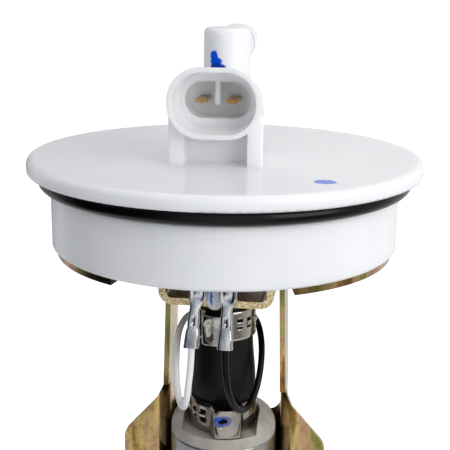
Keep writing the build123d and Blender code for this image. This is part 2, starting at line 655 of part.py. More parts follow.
def hex_screw(length):
    """Hex washer-head screw, its head's underside on z = 0 and its shank going up."""
    head = extrude(RegularPolygon(SCREW_HEAD_AF / 2, 6, major_radius=False), -SCREW_HEAD_H)
    head = chamfer(head.edges().group_by(Axis.Z)[0], 0.4)
    washer = rod(SCREW_WASHER_R, -SCREW_WASHER_T, 0)
    shank = rod(SCREW_R, 0, length)
    shank = chamfer(shank.edges().sort_by(Axis.Z)[-1], 0.8)
    return head + washer + shank


def plate_screws():
    under = -SPIGOT_DEPTH - SHEET_T
    return Compound(children=[Pos(x, y, under) * hex_screw(SHEET_T + SCREW_LENGTH - 1.0)
                              for x, y in screw_places()])


def strap_screws():
    front = HANGER_FRONT_Y - STRAP_T
    return Compound(children=[Pos(x, front, STRAP_Z) * Rot(-90, 0, 0) * hex_screw(STRAP_SCREW_LENGTH)
                              for x in (-STRAP_SCREW_X, STRAP_SCREW_X)])


def strap_nuts():
    back = HANGER_FRONT_Y + HANGER_T
    nut = extrude(RegularPolygon(SCREW_HEAD_AF / 2, 6, major_radius=False), NUT_H)
    nut -= Cylinder(SCREW_R, 4 * NUT_H)
    nut = chamfer(nut.edges().filter_by(GeomType.LINE).group_by(Axis.Z)[-1], 0.4)
    return Compound(children=[Pos(x, back, STRAP_Z) * Rot(-90, 0, 0) * nut
                              for x in (-STRAP_SCREW_X, STRAP_SCREW_X)])


# ---- hose and clamps ---------------------------------------------------------------------------

def clamp_seat(z):
    return z + CLAMP_W / 2 + 0.6, z - CLAMP_W / 2 - 0.6


def outlet_hose():
    """Moulded rubber hose: two clamp seats and a fuller body between them."""
    bore = TUBE_R + BARB_H
    up_top, up_low = clamp_seat(UPPER_CLAMP_Z)
    low_top, low_low = clamp_seat(LOWER_CLAMP_Z)
    body = Spline((HOSE_TOP_R, up_low), (HOSE_TOP_R + HOSE_SWELL, up_low - 5.0),
                  (HOSE_LOW_R + HOSE_SWELL, low_top + 5.0), (HOSE_LOW_R, low_top))
    edges = [Line((bore, HOSE_TOP_Z), (HOSE_TOP_R - 0.6, HOSE_TOP_Z)),
             Line((HOSE_TOP_R - 0.6, HOSE_TOP_Z), (HOSE_TOP_R, HOSE_TOP_Z - 0.6)),
             Line((HOSE_TOP_R, HOSE_TOP_Z - 0.6), (HOSE_TOP_R, up_low)), body,
             Line((HOSE_LOW_R, low_top), (HOSE_LOW_R, HOSE_END_Z + 0.5)),
             Line((HOSE_LOW_R, HOSE_END_Z + 0.5), (HOSE_LOW_R - 0.5, HOSE_END_Z)),
             Line((HOSE_LOW_R - 0.5, HOSE_END_Z), (bore, HOSE_END_Z)), Line((bore, HOSE_END_Z), (bore, HOSE_TOP_Z))]
    face = make_face(Plane.XZ * Curve(edges))
    return Pos(0, FUEL_Y, 0) * revolve(face, Axis.Z)


def ear_clamp(seat_r, z, ear_deg):
    """Stepless ear clamp: a band with hooks in their windows and a raised ear."""
    outer = seat_r + CLAMP_T
    half = CLAMP_W / 2
    clamp = tube(outer, seat_r, -half, half)
    ear_out = extrude(RectangleRounded(2 * (outer + EAR_H), EAR_W, EAR_ROUND), CLAMP_W)
    ear_in = extrude(RectangleRounded(2 * (outer + EAR_H - CLAMP_T), EAR_W - 2 * CLAMP_T, EAR_ROUND - CLAMP_T),
                     CLAMP_W)
    ear = at(-half) * (ear_out - ear_in)
    ear &= block(seat_r / 2, outer + EAR_H + 1, -EAR_W, EAR_W, -half, half)
    clamp += ear - rod(outer - CLAMP_T / 2, -half - 1, half + 1)
    for angle in HOOK_DEGS:
        place = Rot(0, 0, angle) * Pos(outer, 0, HOOK_UP)
        clamp -= place * Box(CLAMP_T, HOOK_W, WINDOW_H)
        clamp += (place * Box(2.4 * CLAMP_T, HOOK_W, HOOK_H)) & tube(outer + CLAMP_T / 2, seat_r, -half, half)
    return Pos(0, FUEL_Y, z) * Rot(0, 0, ear_deg) * clamp


# ---- terminals, leads and plug -----------------------------------------------------------------

def push_on_terminal(x, lean):
    """Female crimp terminal: rolled box on the blade, neck, wire crimp and insulation crimp."""
    box_low = TERMINAL_TOP_Z - BOX_H
    wire_top = box_low - NECK_H
    wire_low = wire_top - NECK_H
    box = block(-BOX_W / 2, BOX_W / 2, -BOX_D / 2, BOX_D / 2, box_low, TERMINAL_TOP_Z)
    hole = BLADE_W / 2 + 0.1
    box -= block(-hole, hole, -PIN_T / 2, PIN_T / 2 + 0.7, box_low - 1, TERMINAL_TOP_Z + 1)
    box -= block(-0.5, 0.5, 0, BOX_D, box_low - 1, TERMINAL_TOP_Z + 1)
    box = Pos(x, BLADE_Y, 0) * box

    def level(share, z, y=BLADE_Y - 0.2):
        return Plane((x + lean * share, y, z))

    neck = loft([level(0, box_low) * Rectangle(BOX_W * 0.92, BOX_D * 0.75),
                 level(0.5, wire_top) * Rectangle(NECK_W, NECK_T)])
    wire = loft([level(0.5, wire_top) * Rectangle(NECK_W, NECK_T),
                 level(0.8, wire_low) * Rectangle(NECK_W, GRIP_D)])
    grip = loft([level(0.8, wire_low) * RectangleRounded(NECK_W, GRIP_D, 0.6),
                 level(1, CRIMP_END_Z, BLADE_Y) * RectangleRounded(GRIP_END_W, GRIP_END_D, 1.2)])
    grip -= level(1, CRIMP_END_Z - 1, BLADE_Y) * extrude(Circle(LEAD_R + 0.05), 3.0)
    return box + neck + wire + grip


def terminals():
    places = (-PIN_PITCH / 2, PIN_PITCH / 2)
    return Compound(children=[push_on_terminal(x, lean) for x, lean in zip(places, TERMINAL_LEANS)])


WHITE_ROUTE = [(-6.0, -20.0, -45.8), (-6.2, -20.1, -52.0), (-6.9, -20.0, -58.2), (-7.7, -18.3, -63.6),
               (-9.0, -14.8, -67.9), (-10.9, -10.3, -68.9), (-12.5, -6.6, -65.6), (-13.4, -3.6, -60.0),
               (-13.9, 0.6, -54.4), (-13.9, 5.2, -51.0), (-12.6, 9.4, -48.8), (-9.8, 12.6, -48.0),
               (-6.8, 14.8, -49.6), (-4.8, 15.8, -53.4), (-4.0, 16.0, -57.6), (-3.8, 16.0, -62.0)]

BLACK_ROUTE = [(3.3, -20.0, -45.8), (3.35, -20.1, -52.0), (3.9, -20.0, -58.2), (5.2, -18.2, -63.8),
               (6.9, -14.6, -67.6), (9.0, -10.4, -68.4), (10.7, -6.6, -65.2), (11.6, -3.0, -60.2),
               (11.6, 1.2, -55.0), (10.8, 5.2, -51.8), (9.5, 9.0, -49.4), (7.9, 12.3, -48.6),
               (6.0, 14.8, -50.2), (4.6, 15.8, -53.6), (3.9, 16.0, -57.6), (3.8, 16.0, -62.0)]


def lead(route):
    """Insulated lead: straight runs joined by arcs as large as the shorter run allows."""
    points = [Vector(*p) for p in route]
    radii = []
    for before, here, after in zip(points, points[1:], points[2:]):
        first, second = here - before, after - here
        turn = radians(first.get_angle(second))
        radii.append(0.45 * min(first.length, second.length) / tan(turn / 2))
    path = FilletPolyline(*points, radius=radii)
    start = Plane(origin=path @ 0, z_dir=path % 0)
    return sweep(start * Circle(LEAD_R), path=path)


def plug_blade(side, clear, low, high):
    """One of the pump's two rear blades, or the slot that takes it."""
    middle = side * PLUG_LEAD_X
    half = PLUG_BLADE_W / 2 + clear
    return block(middle - half, middle + half, PLUG_Y - PLUG_BLADE_T / 2, PLUG_Y + PLUG_BLADE_T / 2, low, high)


def pump_plug():
    """Two-way housing pushed on the pump's rear blades."""
    low = CAP_TOP_Z
    body = block(-PLUG_W / 2, PLUG_W / 2, PLUG_Y - PLUG_D / 2, PLUG_Y + PLUG_D / 2, low, low + PLUG_H)
    body = fillet(body.edges().filter_by(Axis.Z), 1.2)
    body = chamfer(body.edges().group_by(Axis.Z)[-1], 0.5)
    latch = block(-2.4, 2.4, PLUG_Y + PLUG_D / 2, PLUG_Y + PLUG_D / 2 + 1.1, low + 1.5, low + PLUG_H - 1)
    body += latch
    for side in (-1, 1):
        body -= rod(LEAD_R, low + PLUG_H - 2.0, low + PLUG_H + 1, PLUG_Y, side * PLUG_LEAD_X)
        body -= plug_blade(side, 0.1, low - 1, low + PLUG_BLADE_UP + 0.5)
    return body


# ---- pump --------------------------------------------------------------------------------------

def brush_block(side, half, low, high):
    """A square bar on one brush's centre line."""
    middle = side * BRUSH_X
    return block(middle - half, middle + half, PUMP_Y - half, PUMP_Y + half, low, high)


def end_cap():
    """Moulded pump head: rounded turret, front pocket for the hose clamp, barbed outlet."""
    low = CAN_TOP_Z - CAP_SPIGOT
    turret = rod(PUMP_R - 0.1, CAN_TOP_Z, CAP_TOP_Z, PUMP_Y)
    turret = fillet(turret.edges().sort_by(Axis.Z)[-1], CAP_ROUND)
    spigot = rod(PUMP_R - CAN_WALL, low, CAN_TOP_Z, PUMP_Y)
    floor = POCKET_FLOOR_Z
    pocket = rod(CLAMP_POCKET_R, floor, CAP_TOP_Z + 1, FUEL_Y)
    pocket += block(-CLAMP_POCKET_R, CLAMP_POCKET_R, -40, FUEL_Y, floor, CAP_TOP_Z + 1)
    tower = rod(PUMP_R - 0.1, CAN_TOP_Z, CAP_TOP_Z, PUMP_Y)
    seat_w = PLUG_W / 2 + 0.8
    tower &= block(-seat_w, seat_w, PLUG_Y - PLUG_D / 2 - 0.8, PLUG_Y + PUMP_R, CAN_TOP_Z, CAP_TOP_Z)
    body = (turret + tower - pocket) + spigot
    points = [(0, floor - 0.5), (TUBE_R, floor - 0.5)]
    points += reversed(barb_points(TUBE_R, floor + 3.0, PUMP_NIPPLE_TOP_Z - 1.2, True))
    points += [(TUBE_R - 0.6, PUMP_NIPPLE_TOP_Z), (0, PUMP_NIPPLE_TOP_Z)]
    body += turned(points, FUEL_Y)
    body -= rod(CHECK_BORE_R, CHECK_SEAT_Z, PUMP_NIPPLE_TOP_Z + 1, FUEL_Y)
    body -= rod(CHECK_BORE_R - 1.2, low - 1, CHECK_SEAT_Z + 1, FUEL_Y)
    holders = None
    hole = BRUSH_SIDE / 2 + BRUSH_CLEAR
    for side in (-1, 1):
        body -= brush_block(side, hole, low - 1, BRUSH_HOLE_TOP_Z)
        body -= plug_blade(side, 0, CAP_TOP_Z - PLUG_BLADE_DOWN, CAP_TOP_Z + 1)
        outer = brush_block(side, hole + 1.0, BRUSH_HOLDER_END_Z, low)
        outer -= brush_block(side, hole, BRUSH_HOLDER_END_Z - 1, low + 1)
        holders = outer if holders is None else holders + outer
    bush_r = SHAFT_R + UPPER_BUSH_WALL
    hub = tube(bush_r + 1.0, bush_r, low - BUSH_H, low, PUMP_Y)
    body += holders
    body += hub
    body -= rod(bush_r, low - BUSH_H - 1, low, PUMP_Y)
    return body


def pump_can():
    """Deep-drawn case with eased ends."""
    inner = PUMP_R - CAN_WALL
    can = tube(PUMP_R, inner, CAN_END_Z, CAN_TOP_Z, PUMP_Y)
    edges = can.edges().filter_by(GeomType.CIRCLE).sort_by(lambda e: -e.length)[:2]
    return fillet(edges, CAN_WALL * 0.6)


def sleeve():
    """Rubber sleeve between the pump and its cradle."""
    return tube(PUMP_R + SLEEVE_T, PUMP_R, SLEEVE_END_Z, SLEEVE_TOP_Z, PUMP_Y)


def pump_pad():
    """Rubber ring between the pump's foot and the cradle shelf."""
    return tube(PUMP_R - 1.0, SHELF_HOLE_R + 1.0, SHELF_Z, CAN_END_Z, PUMP_Y)


def pump_blades():
    return Compound(children=[plug_blade(side, 0, CAP_TOP_Z - PLUG_BLADE_DOWN, CAP_TOP_Z + PLUG_BLADE_UP)
                              for side in (-1, 1)])


def brush(side):
    return brush_block(side, BRUSH_SIDE / 2, BRUSH_REST_Z, BRUSH_REST_Z + BRUSH_LENGTH)


def brush_spring(side):
    low = BRUSH_REST_Z + BRUSH_LENGTH
    return coil(1.0, 0.2, BRUSH_HOLE_TOP_Z - low, 6, low, PUMP_Y, side * BRUSH_X)


def commutator():
    """Flat commutator: copper segments on the armature's face, undercut between them."""
    body = tube(COMMUTATOR_R, SHAFT_R, COMMUTATOR_Z - COMMUTATOR_T, COMMUTATOR_Z, PUMP_Y)
    for i in range(SEGMENTS):
        slot = block(SHAFT_R + 1.5, COMMUTATOR_R + 1, -0.25, 0.25, COMMUTATOR_Z - 0.8, COMMUTATOR_Z + 1)
        body -= Pos(0, PUMP_Y, 0) * Rot(0, 0, 360 / SEGMENTS * i + 22.5) * slot
    return body


def armature_core():
    """Laminated core with round slots open to the air gap."""
    low = CORE_TOP_Z - CORE_LENGTH
    core = tube(CORE_R, SHAFT_R, low, CORE_TOP_Z, PUMP_Y)
    for i in range(SLOTS):
        turn = Pos(0, PUMP_Y, 0) * Rot(0, 0, 360 / SLOTS * i)
        core -= turn * rod(SLOT_R, low - 1, CORE_TOP_Z + 1, 0, SLOT_AT_R)
        core -= turn * block(SLOT_AT_R, CORE_R + 1, -0.6, 0.6, low - 1, CORE_TOP_Z + 1)
    return core


def windings():
    """Copper in the slots and the end turns above and below the core."""
    low = CORE_TOP_Z - CORE_LENGTH
    coils = None
    for z0, z1 in ((CORE_TOP_Z, CORE_TOP_Z + WINDING_OVERHANG), (low - WINDING_OVERHANG, low)):
        ring = tube(SLOT_AT_R + SLOT_R, SHAFT_R + 1.4, z0, z1, PUMP_Y)
        ring = fillet(ring.edges().filter_by(GeomType.CIRCLE).sort_by(lambda e: -e.length)[:2], 1.2)
        coils = ring if coils is None else coils + ring
    for i in range(SLOTS):
        turn = Pos(0, PUMP_Y, 0) * Rot(0, 0, 360 / SLOTS * i)
        coils += turn * rod(SLOT_R, low - 1, CORE_TOP_Z + 1, 0, SLOT_AT_R)
    return coils


def rotor_shaft():
    return rod(SHAFT_R, SHAFT_END_Z, CAN_TOP_Z - CAP_SPIGOT - 1.0, PUMP_Y)


def magnets():
    """Two arc magnets held against the case."""
    outer = PUMP_R - CAN_WALL - MAGNET_WALL_GAP
    inner = CORE_R + AIR_GAP
    mid = CORE_TOP_Z - CORE_LENGTH / 2
    ring = tube(outer, inner, mid - MAGNET_LENGTH / 2, mid + MAGNET_LENGTH / 2)
    reach = outer * 2
    half = radians(MAGNET_SPAN / 2)
    wedge = make_face(Polyline((0, 0), (reach * cos(half), reach * sin(half)), (reach * 2, 0),
                               (reach * cos(half), -reach * sin(half)), close=True))
    wedge = at(mid - MAGNET_LENGTH) * extrude(wedge, MAGNET_LENGTH * 2)
    one = ring & wedge
    return Compound(children=[Pos(0, PUMP_Y, 0) * Rot(0, 0, turn) * one for turn in (0, 180)])


def bushes():
    """Sintered bearings: one in the head, one in the upper chamber plate."""
    top_low = CAN_TOP_Z - CAP_SPIGOT - BUSH_H
    upper = tube(SHAFT_R + UPPER_BUSH_WALL, SHAFT_R + SHAFT_CLEAR, top_low, top_low + BUSH_H, PUMP_Y)
    low_top = CHAMBER_TOP_Z
    lower = tube(SHAFT_R + LOWER_BUSH_WALL, SHAFT_R + SHAFT_CLEAR, low_top - CHAMBER_T + 0.6, low_top, PUMP_Y)
    return upper, lower


def upper_chamber():
    """Plate above the impeller with its half of the ring channel."""
    high = CHAMBER_TOP_Z
    low = high - CHAMBER_T
    plate = rod(PUMP_R - CAN_WALL, low, high, PUMP_Y)
    plate -= rod(SHAFT_R + LOWER_BUSH_WALL, high - CHAMBER_T + 0.6, high + 1, PUMP_Y)
    plate -= rod(SHAFT_R + 0.2, low - 1, high + 1, PUMP_Y)
    channel = tube(IMPELLER_R, IMPELLER_R - VANE_DEPTH, low - 1, low + 1.0, PUMP_Y)
    plate -= channel
    plate -= rod(1.3, low - 1, high + 1, PUMP_Y, IMPELLER_R - VANE_DEPTH / 2)
    return plate


def inlet_cover():
    """Plate below the impeller: ring wall, channel half, inlet port and spout."""
    high = CHAMBER_TOP_Z - CHAMBER_T
    seat = high - IMPELLER_T - 2 * IMPELLER_GAP
    low = CAN_END_Z
    plate = rod(PUMP_R - CAN_WALL, low, high, PUMP_Y)
    plate -= rod(IMPELLER_R + 0.15, seat, high + 1, PUMP_Y)
    plate -= rod(SHAFT_R + 0.2, seat - 1.2, high + 1, PUMP_Y)
    plate -= tube(IMPELLER_R, IMPELLER_R - VANE_DEPTH, seat - 1.0, seat + 1, PUMP_Y)
    spout = rod(INLET_R, low - INLET_DROP, low + 0.5, PUMP_Y)
    plate += spout
    plate -= rod(INLET_R - 1.4, low - INLET_DROP - 1, seat - 2.0, PUMP_Y)
    plate -= Pos(-IMPELLER_R / 2, PUMP_Y, seat - 1.8) * Box(IMPELLER_R, 2.4, 1.6)
    return plate


def impeller():
    """Side-channel wheel: vane pockets cut into the rim from both faces."""
    high = CHAMBER_TOP_Z - CHAMBER_T - IMPELLER_GAP
    low = high - IMPELLER_T
    wheel = tube(IMPELLER_R, SHAFT_R, low, high, PUMP_Y)
    pocket = 2 * pi * IMPELLER_R / VANES * 0.5
    for i in range(VANES):
        cut = block(IMPELLER_R - VANE_DEPTH, IMPELLER_R + 1, -pocket / 2, pocket / 2, low - 1, high + 1)
        wheel -= Pos(0, PUMP_Y, 0) * Rot(0, 0, 360 / VANES * i) * cut
    return wheel


# ---- check valve -------------------------------------------------------------------------------

def check_poppet():
    points = [(0, CHECK_SEAT_Z + 0.02), (CHECK_R, CHECK_SEAT_Z + 0.02), (CHECK_R, CHECK_SEAT_Z + 1.6),
              (1.2, CHECK_SEAT_Z + 1.6), (1.2, CHECK_SEAT_Z + 2.2 + CHECK_STEM), (0, CHECK_SEAT_Z + 2.2 + CHECK_STEM)]
    return turned(points, FUEL_Y)


def check_spring():
    return coil(1.75, 0.2, CHECK_SPRING_LENGTH, 5, CHECK_SPRING_LOW_Z, FUEL_Y)


def check_stop():
    """Press-in ring that the spring rests against."""
    return tube(CHECK_BORE_R, CHECK_STOP_R, CHECK_STOP_Z, CHECK_STOP_Z + CHECK_STOP_H, FUEL_Y)


# ---- regulator ---------------------------------------------------------------------------------

def regulator_body():
    """Drawn steel upper cup: neck that plugs into the flange and the fuel chamber."""
    s = REG_SHEET
    mid = (REG_NECK_END_Z + REG_TOP_Z) / 2
    groove = REG_SEAL_SECTION
    outline = [(REG_NECK_BORE_R, REG_TOP_Z), (REG_NECK_R, REG_TOP_Z), (REG_NECK_R, mid + groove / 2),
               (REG_GROOVE_R, mid + groove / 2), (REG_GROOVE_R, mid - groove / 2), (REG_NECK_R, mid - groove / 2),
               (REG_NECK_R, REG_NECK_END_Z), (REG_R, REG_NECK_END_Z - 1.5), (REG_R, REG_BODY_END_Z + s),
               (REG_RIM_R, REG_BODY_END_Z + s), (REG_RIM_R, REG_BODY_END_Z), (REG_R - s, REG_BODY_END_Z),
               (REG_R - s, REG_NECK_END_Z - 2.0), (REG_NECK_BORE_R, REG_NECK_END_Z - s)]
    return turned(outline, REG_Y)


def regulator_tube():
    """Return tube down the middle: the valve closes its lower end."""
    low = REG_BODY_END_Z + REG_SEAT_LIFT
    ring = tube(REG_SEAT_R + 0.8, REG_SEAT_R, low, REG_TOP_Z - 1.0, REG_Y)
    disc = tube(REG_NECK_BORE_R, REG_SEAT_R, REG_TOP_Z - 2.2, REG_TOP_Z - 1.0, REG_Y)
    hole_at = (REG_NECK_BORE_R + REG_SEAT_R + REG_SHEET) / 2
    for i in range(4):
        disc -= Pos(0, REG_Y, REG_TOP_Z - 1.6) * Rot(0, 0, 90 * i) * Pos(hole_at, 0, 0) * Cylinder(0.5, 3)
    return ring + disc


def regulator_diaphragm():
    low = REG_BODY_END_Z - 0.8
    return tube(REG_RIM_R - 0.3, REG_VALVE_R + 0.3, low, REG_BODY_END_Z, REG_Y)


def regulator_valve():
    """Spring plate with the valve disc on top; it rests against the return tube."""
    seat = REG_BODY_END_Z + REG_SEAT_LIFT - 0.02
    disc = rod(REG_SEAT_R + 1.0, seat - 1.4, seat, REG_Y)
    stem = rod(1.4, REG_BODY_END_Z - 1.2, seat - 1.2, REG_Y)
    plate = rod(REG_VALVE_R, REG_BODY_END_Z - 1.8, REG_BODY_END_Z + 0.4, REG_Y)
    return disc + stem + plate


def regulator_cover():
    """Lower cup that holds the spring, crimped over the body's rim, with a vent hole."""
    s = REG_SHEET
    high = REG_BODY_END_Z - 0.8
    low = REG_COVER_END_Z
    r = REG_R - 2.0
    lap = high + 0.8 + s
    outline = [(1.2, low), (r, low), (r, high - 3.0), (REG_RIM_R + s, high - 2.0), (REG_RIM_R + s, lap + s),
               (REG_RIM_R - 0.6, lap + s), (REG_RIM_R - 0.6, lap), (REG_RIM_R, lap), (REG_RIM_R, high),
               (r + 0.6, high), (r - s, high - 3.0), (r - s, low + s), (1.2, low + s)]
    return turned(outline, REG_Y)


def regulator_spring():
    low = REG_COVER_END_Z + REG_SHEET
    high = REG_BODY_END_Z - 1.8
    return coil(3.4, 0.4, high - low, 5, low, REG_Y)


def regulator_seal():
    mid = (REG_NECK_END_Z + REG_TOP_Z) / 2
    r = REG_SEAL_SECTION / 2
    return Pos(0, REG_Y, mid) * Torus(REG_NECK_R + REG_CLEAR - r, r * 0.98)


def regulator_clip():
    """Sheet ring that grips the socket round the regulator's neck."""
    r = REG_NECK_R + REG_CLEAR + REG_SOCKET_WALL
    return tube(r + REG_CLIP_T, r, REG_SOCKET_END_Z, REG_SOCKET_END_Z + REG_CLIP_H, REG_Y)


# ---- strainer ----------------------------------------------------------------------------------

def strainer_collar():
    """Moulded ring that grips the pump's inlet spout."""
    inner = INLET_R
    outer = inner + COLLAR_WALL
    ring = tube(outer, inner, SOCK_TOP_Z - COLLAR_DOWN, SOCK_TOP_Z + COLLAR_UP, PUMP_Y)
    low = SOCK_TOP_Z - SOCK_GRIP
    return ring + tube(outer + COLLAR_LIP, inner, low, low + COLLAR_LIP_T, PUMP_Y)


def strainer_sock():
    """Pillow-shaped fine-mesh bag."""
    plan = SlotOverall(SOCK_LENGTH, SOCK_WIDTH, rotation=90)
    body = Pos(0, SOCK_Y, SOCK_TOP_Z - SOCK_GRIP - SOCK_T) * extrude(plan, SOCK_T)
    edges = body.edges().group_by(Axis.Z)
    return fillet(edges[0] + edges[-1], SOCK_T * 0.42)


# ---- build -------------------------------------------------------------------------------------

def build():
    pins = [contact_pin(x) for x in (-PIN_PITCH / 2, PIN_PITCH / 2)]
    bush_upper, bush_lower = bushes()
    return {
        "flange": flange(pins),
        "tank_seal": tank_seal(),
        "contact_pins": Compound(children=pins),
        "mounting_plate": mounting_plate(),
        "plate_screws": plate_screws(),
        "pump_hanger": pump_hanger(),
        "retaining_strap": retaining_strap(),
        "strap_screws": strap_screws(),
        "strap_nuts": strap_nuts(),
        "outlet_hose": outlet_hose(),
        "hose_clamp_upper": ear_clamp(HOSE_TOP_R, UPPER_CLAMP_Z, UPPER_EAR_DEG),
        "hose_clamp_lower": ear_clamp(HOSE_LOW_R, LOWER_CLAMP_Z, LOWER_EAR_DEG),
        "lead_terminals": terminals(),
        "lead_white": lead(WHITE_ROUTE),
        "lead_black": lead(BLACK_ROUTE),
        "pump_plug": pump_plug(),
        "pump_blades": pump_blades(),
        "pump_end_cap": end_cap(),
        "pump_can": pump_can(),
        "pump_sleeve": sleeve(),
        "pump_pad": pump_pad(),
        "brush_left": brush(-1),
        "brush_right": brush(1),
        "brush_spring_left": brush_spring(-1),
        "brush_spring_right": brush_spring(1),
        "commutator": commutator(),
        "armature_core": armature_core(),
        "armature_windings": windings(),
        "rotor_shaft": rotor_shaft(),
        "field_magnets": magnets(),
        "bush_upper": bush_upper,
        "bush_lower": bush_lower,
        "chamber_plate": upper_chamber(),
        "impeller": impeller(),
        "inlet_cover": inlet_cover(),
        "check_poppet": check_poppet(),
        "check_spring": check_spring(),
        "check_stop": check_stop(),
        "regulator_body": regulator_body(),
        "regulator_tube": regulator_tube(),
        "regulator_diaphragm": regulator_diaphragm(),
        "regulator_valve": regulator_valve(),
        "regulator_spring": regulator_spring(),
        "regulator_cover": regulator_cover(),
        "regulator_seal": regulator_seal(),
        "regulator_clip": regulator_clip(),
        "strainer_collar": strainer_collar(),
        "strainer_sock": strainer_sock(),
    }


for name, shape in build().items():
    export_step(shape, f"parts/{name}.step")
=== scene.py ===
import math

import bmesh
import bpy
from mathutils import Matrix, Vector


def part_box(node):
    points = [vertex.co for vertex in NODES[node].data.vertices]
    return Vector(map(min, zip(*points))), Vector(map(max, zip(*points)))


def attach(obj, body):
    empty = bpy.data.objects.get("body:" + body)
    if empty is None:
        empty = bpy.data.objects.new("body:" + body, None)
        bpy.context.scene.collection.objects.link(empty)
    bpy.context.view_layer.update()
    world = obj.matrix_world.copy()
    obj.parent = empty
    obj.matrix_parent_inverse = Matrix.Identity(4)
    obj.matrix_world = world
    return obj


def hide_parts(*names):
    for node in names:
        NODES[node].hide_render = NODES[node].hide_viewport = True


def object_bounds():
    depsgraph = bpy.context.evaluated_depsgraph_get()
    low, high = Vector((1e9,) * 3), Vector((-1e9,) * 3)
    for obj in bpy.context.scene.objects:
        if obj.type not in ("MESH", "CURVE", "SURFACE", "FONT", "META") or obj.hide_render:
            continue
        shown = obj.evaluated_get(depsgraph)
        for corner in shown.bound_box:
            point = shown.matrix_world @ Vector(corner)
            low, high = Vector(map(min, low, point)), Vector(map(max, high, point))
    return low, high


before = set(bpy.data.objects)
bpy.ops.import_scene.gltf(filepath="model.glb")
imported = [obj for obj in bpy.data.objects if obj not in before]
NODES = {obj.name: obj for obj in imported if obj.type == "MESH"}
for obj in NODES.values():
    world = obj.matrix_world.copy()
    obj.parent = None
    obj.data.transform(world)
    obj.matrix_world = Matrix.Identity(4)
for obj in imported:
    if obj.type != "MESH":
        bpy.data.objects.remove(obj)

CAD_BOX = [list(corner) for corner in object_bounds()]
MM = 0.001
scene = bpy.context.scene
scene.view_settings.view_transform = "Standard"

# ---- camera ------------------------------------------------------------------------------------

CAMERA_AT = Vector((35.24, -267.69, 53.97)) * MM
CAMERA_TURN = math.radians(7.5)     # to the left of +Y
CAMERA_TILT = 0.257                 # down, radians
CAMERA_ROLL = 0.012
SENSOR_MM = 36.0
LENS_MM = 77.96
AXIS_SHIFT = 0.8 / 450              # the lens axis lies a little left of the frame's middle


def place_camera():
    level_right = Vector((math.cos(CAMERA_TURN), math.sin(CAMERA_TURN), 0))
    level_ahead = Vector((-math.sin(CAMERA_TURN), math.cos(CAMERA_TURN), 0))
    up = Vector((0, 0, 1))
    ahead = level_ahead * math.cos(CAMERA_TILT) - up * math.sin(CAMERA_TILT)
    over = level_ahead * math.sin(CAMERA_TILT) + up * math.cos(CAMERA_TILT)
    right = level_right * math.cos(CAMERA_ROLL) + over * math.sin(CAMERA_ROLL)
    top = over * math.cos(CAMERA_ROLL) - level_right * math.sin(CAMERA_ROLL)
    data = bpy.data.cameras.new("camera")
    data.lens = LENS_MM
    data.sensor_width = SENSOR_MM
    data.shift_x = AXIS_SHIFT
    data.clip_start = 0.01
    data.clip_end = 50
    camera = bpy.data.objects.new("camera", data)
    scene.collection.objects.link(camera)
    turn = Matrix((right, top, -ahead)).transposed().to_4x4()
    camera.matrix_world = Matrix.Translation(CAMERA_AT) @ turn
    scene.camera = camera


place_camera()

# ---- materials: the tools ----------------------------------------------------------------------


def colour(code):
    """Linear RGBA of an sRGB hex value."""
    parts = [int(code[i:i + 2], 16) / 255 for i in (1, 3, 5)]
    return [c / 12.92 if c <= 0.04045 else ((c + 0.055) / 1.055) ** 2.4 for c in parts] + [1.0]


def add(tree, kind, links=None, stops=None, **settings):
    """Adds one node. links gives a socket's name or number a value, a hex colour or another
    node's output; stops are a colour ramp's (position, hex colour) pairs."""
    made = tree.nodes.new(kind)
    for name, value in settings.items():
        setattr(made, name, value)
    if stops:
        ramp = made.color_ramp
        while len(ramp.elements) < len(stops):
            ramp.elements.new(0.5)
        for element, (place, code) in zip(ramp.elements, stops):
            element.position = place
            element.color = colour(code)
    for key, value in (links or {}).items():
        socket = made.inputs[key]
        if isinstance(value, bpy.types.NodeSocket):
            tree.links.new(value, socket)
        elif isinstance(value, str):
            socket.default_value = colour(value)
        else:
            socket.default_value = value
    return made


def start(name, **shader_values):
    """A new material with its shader. Returns (material, node tree, shader, object place)."""
    made = bpy.data.materials.new(name)
    made.use_nodes = True
    tree = made.node_tree
    tree.nodes.clear()
    links = {key.replace("_", " "): value for key, value in shader_values.items()}
    shader = add(tree, "ShaderNodeBsdfPrincipled", links)
    add(tree, "ShaderNodeOutputMaterial", {"Surface": shader.outputs[0]})
    place = add(tree, "ShaderNodeTexCoord").outputs["Object"]
    return made, tree, shader, place


def plug(tree, output, shader, name):
    tree.links.new(output, shader.inputs[name])


# Sockets of the colour Mix node, which have no names of their own.
MIX_FACTOR, MIX_A, MIX_B, MIX_OUT = 0, 6, 7, 2


def paint(material, *names):
    """Gives CAD nodes this material in place of the one they came with."""
    for name in names:
        for holder in NODES[name].material_slots:
            holder.material = material

# ---- leads: free limp wires, so they come first ------------------------------------------------

LEAD_D = 1.9 * MM
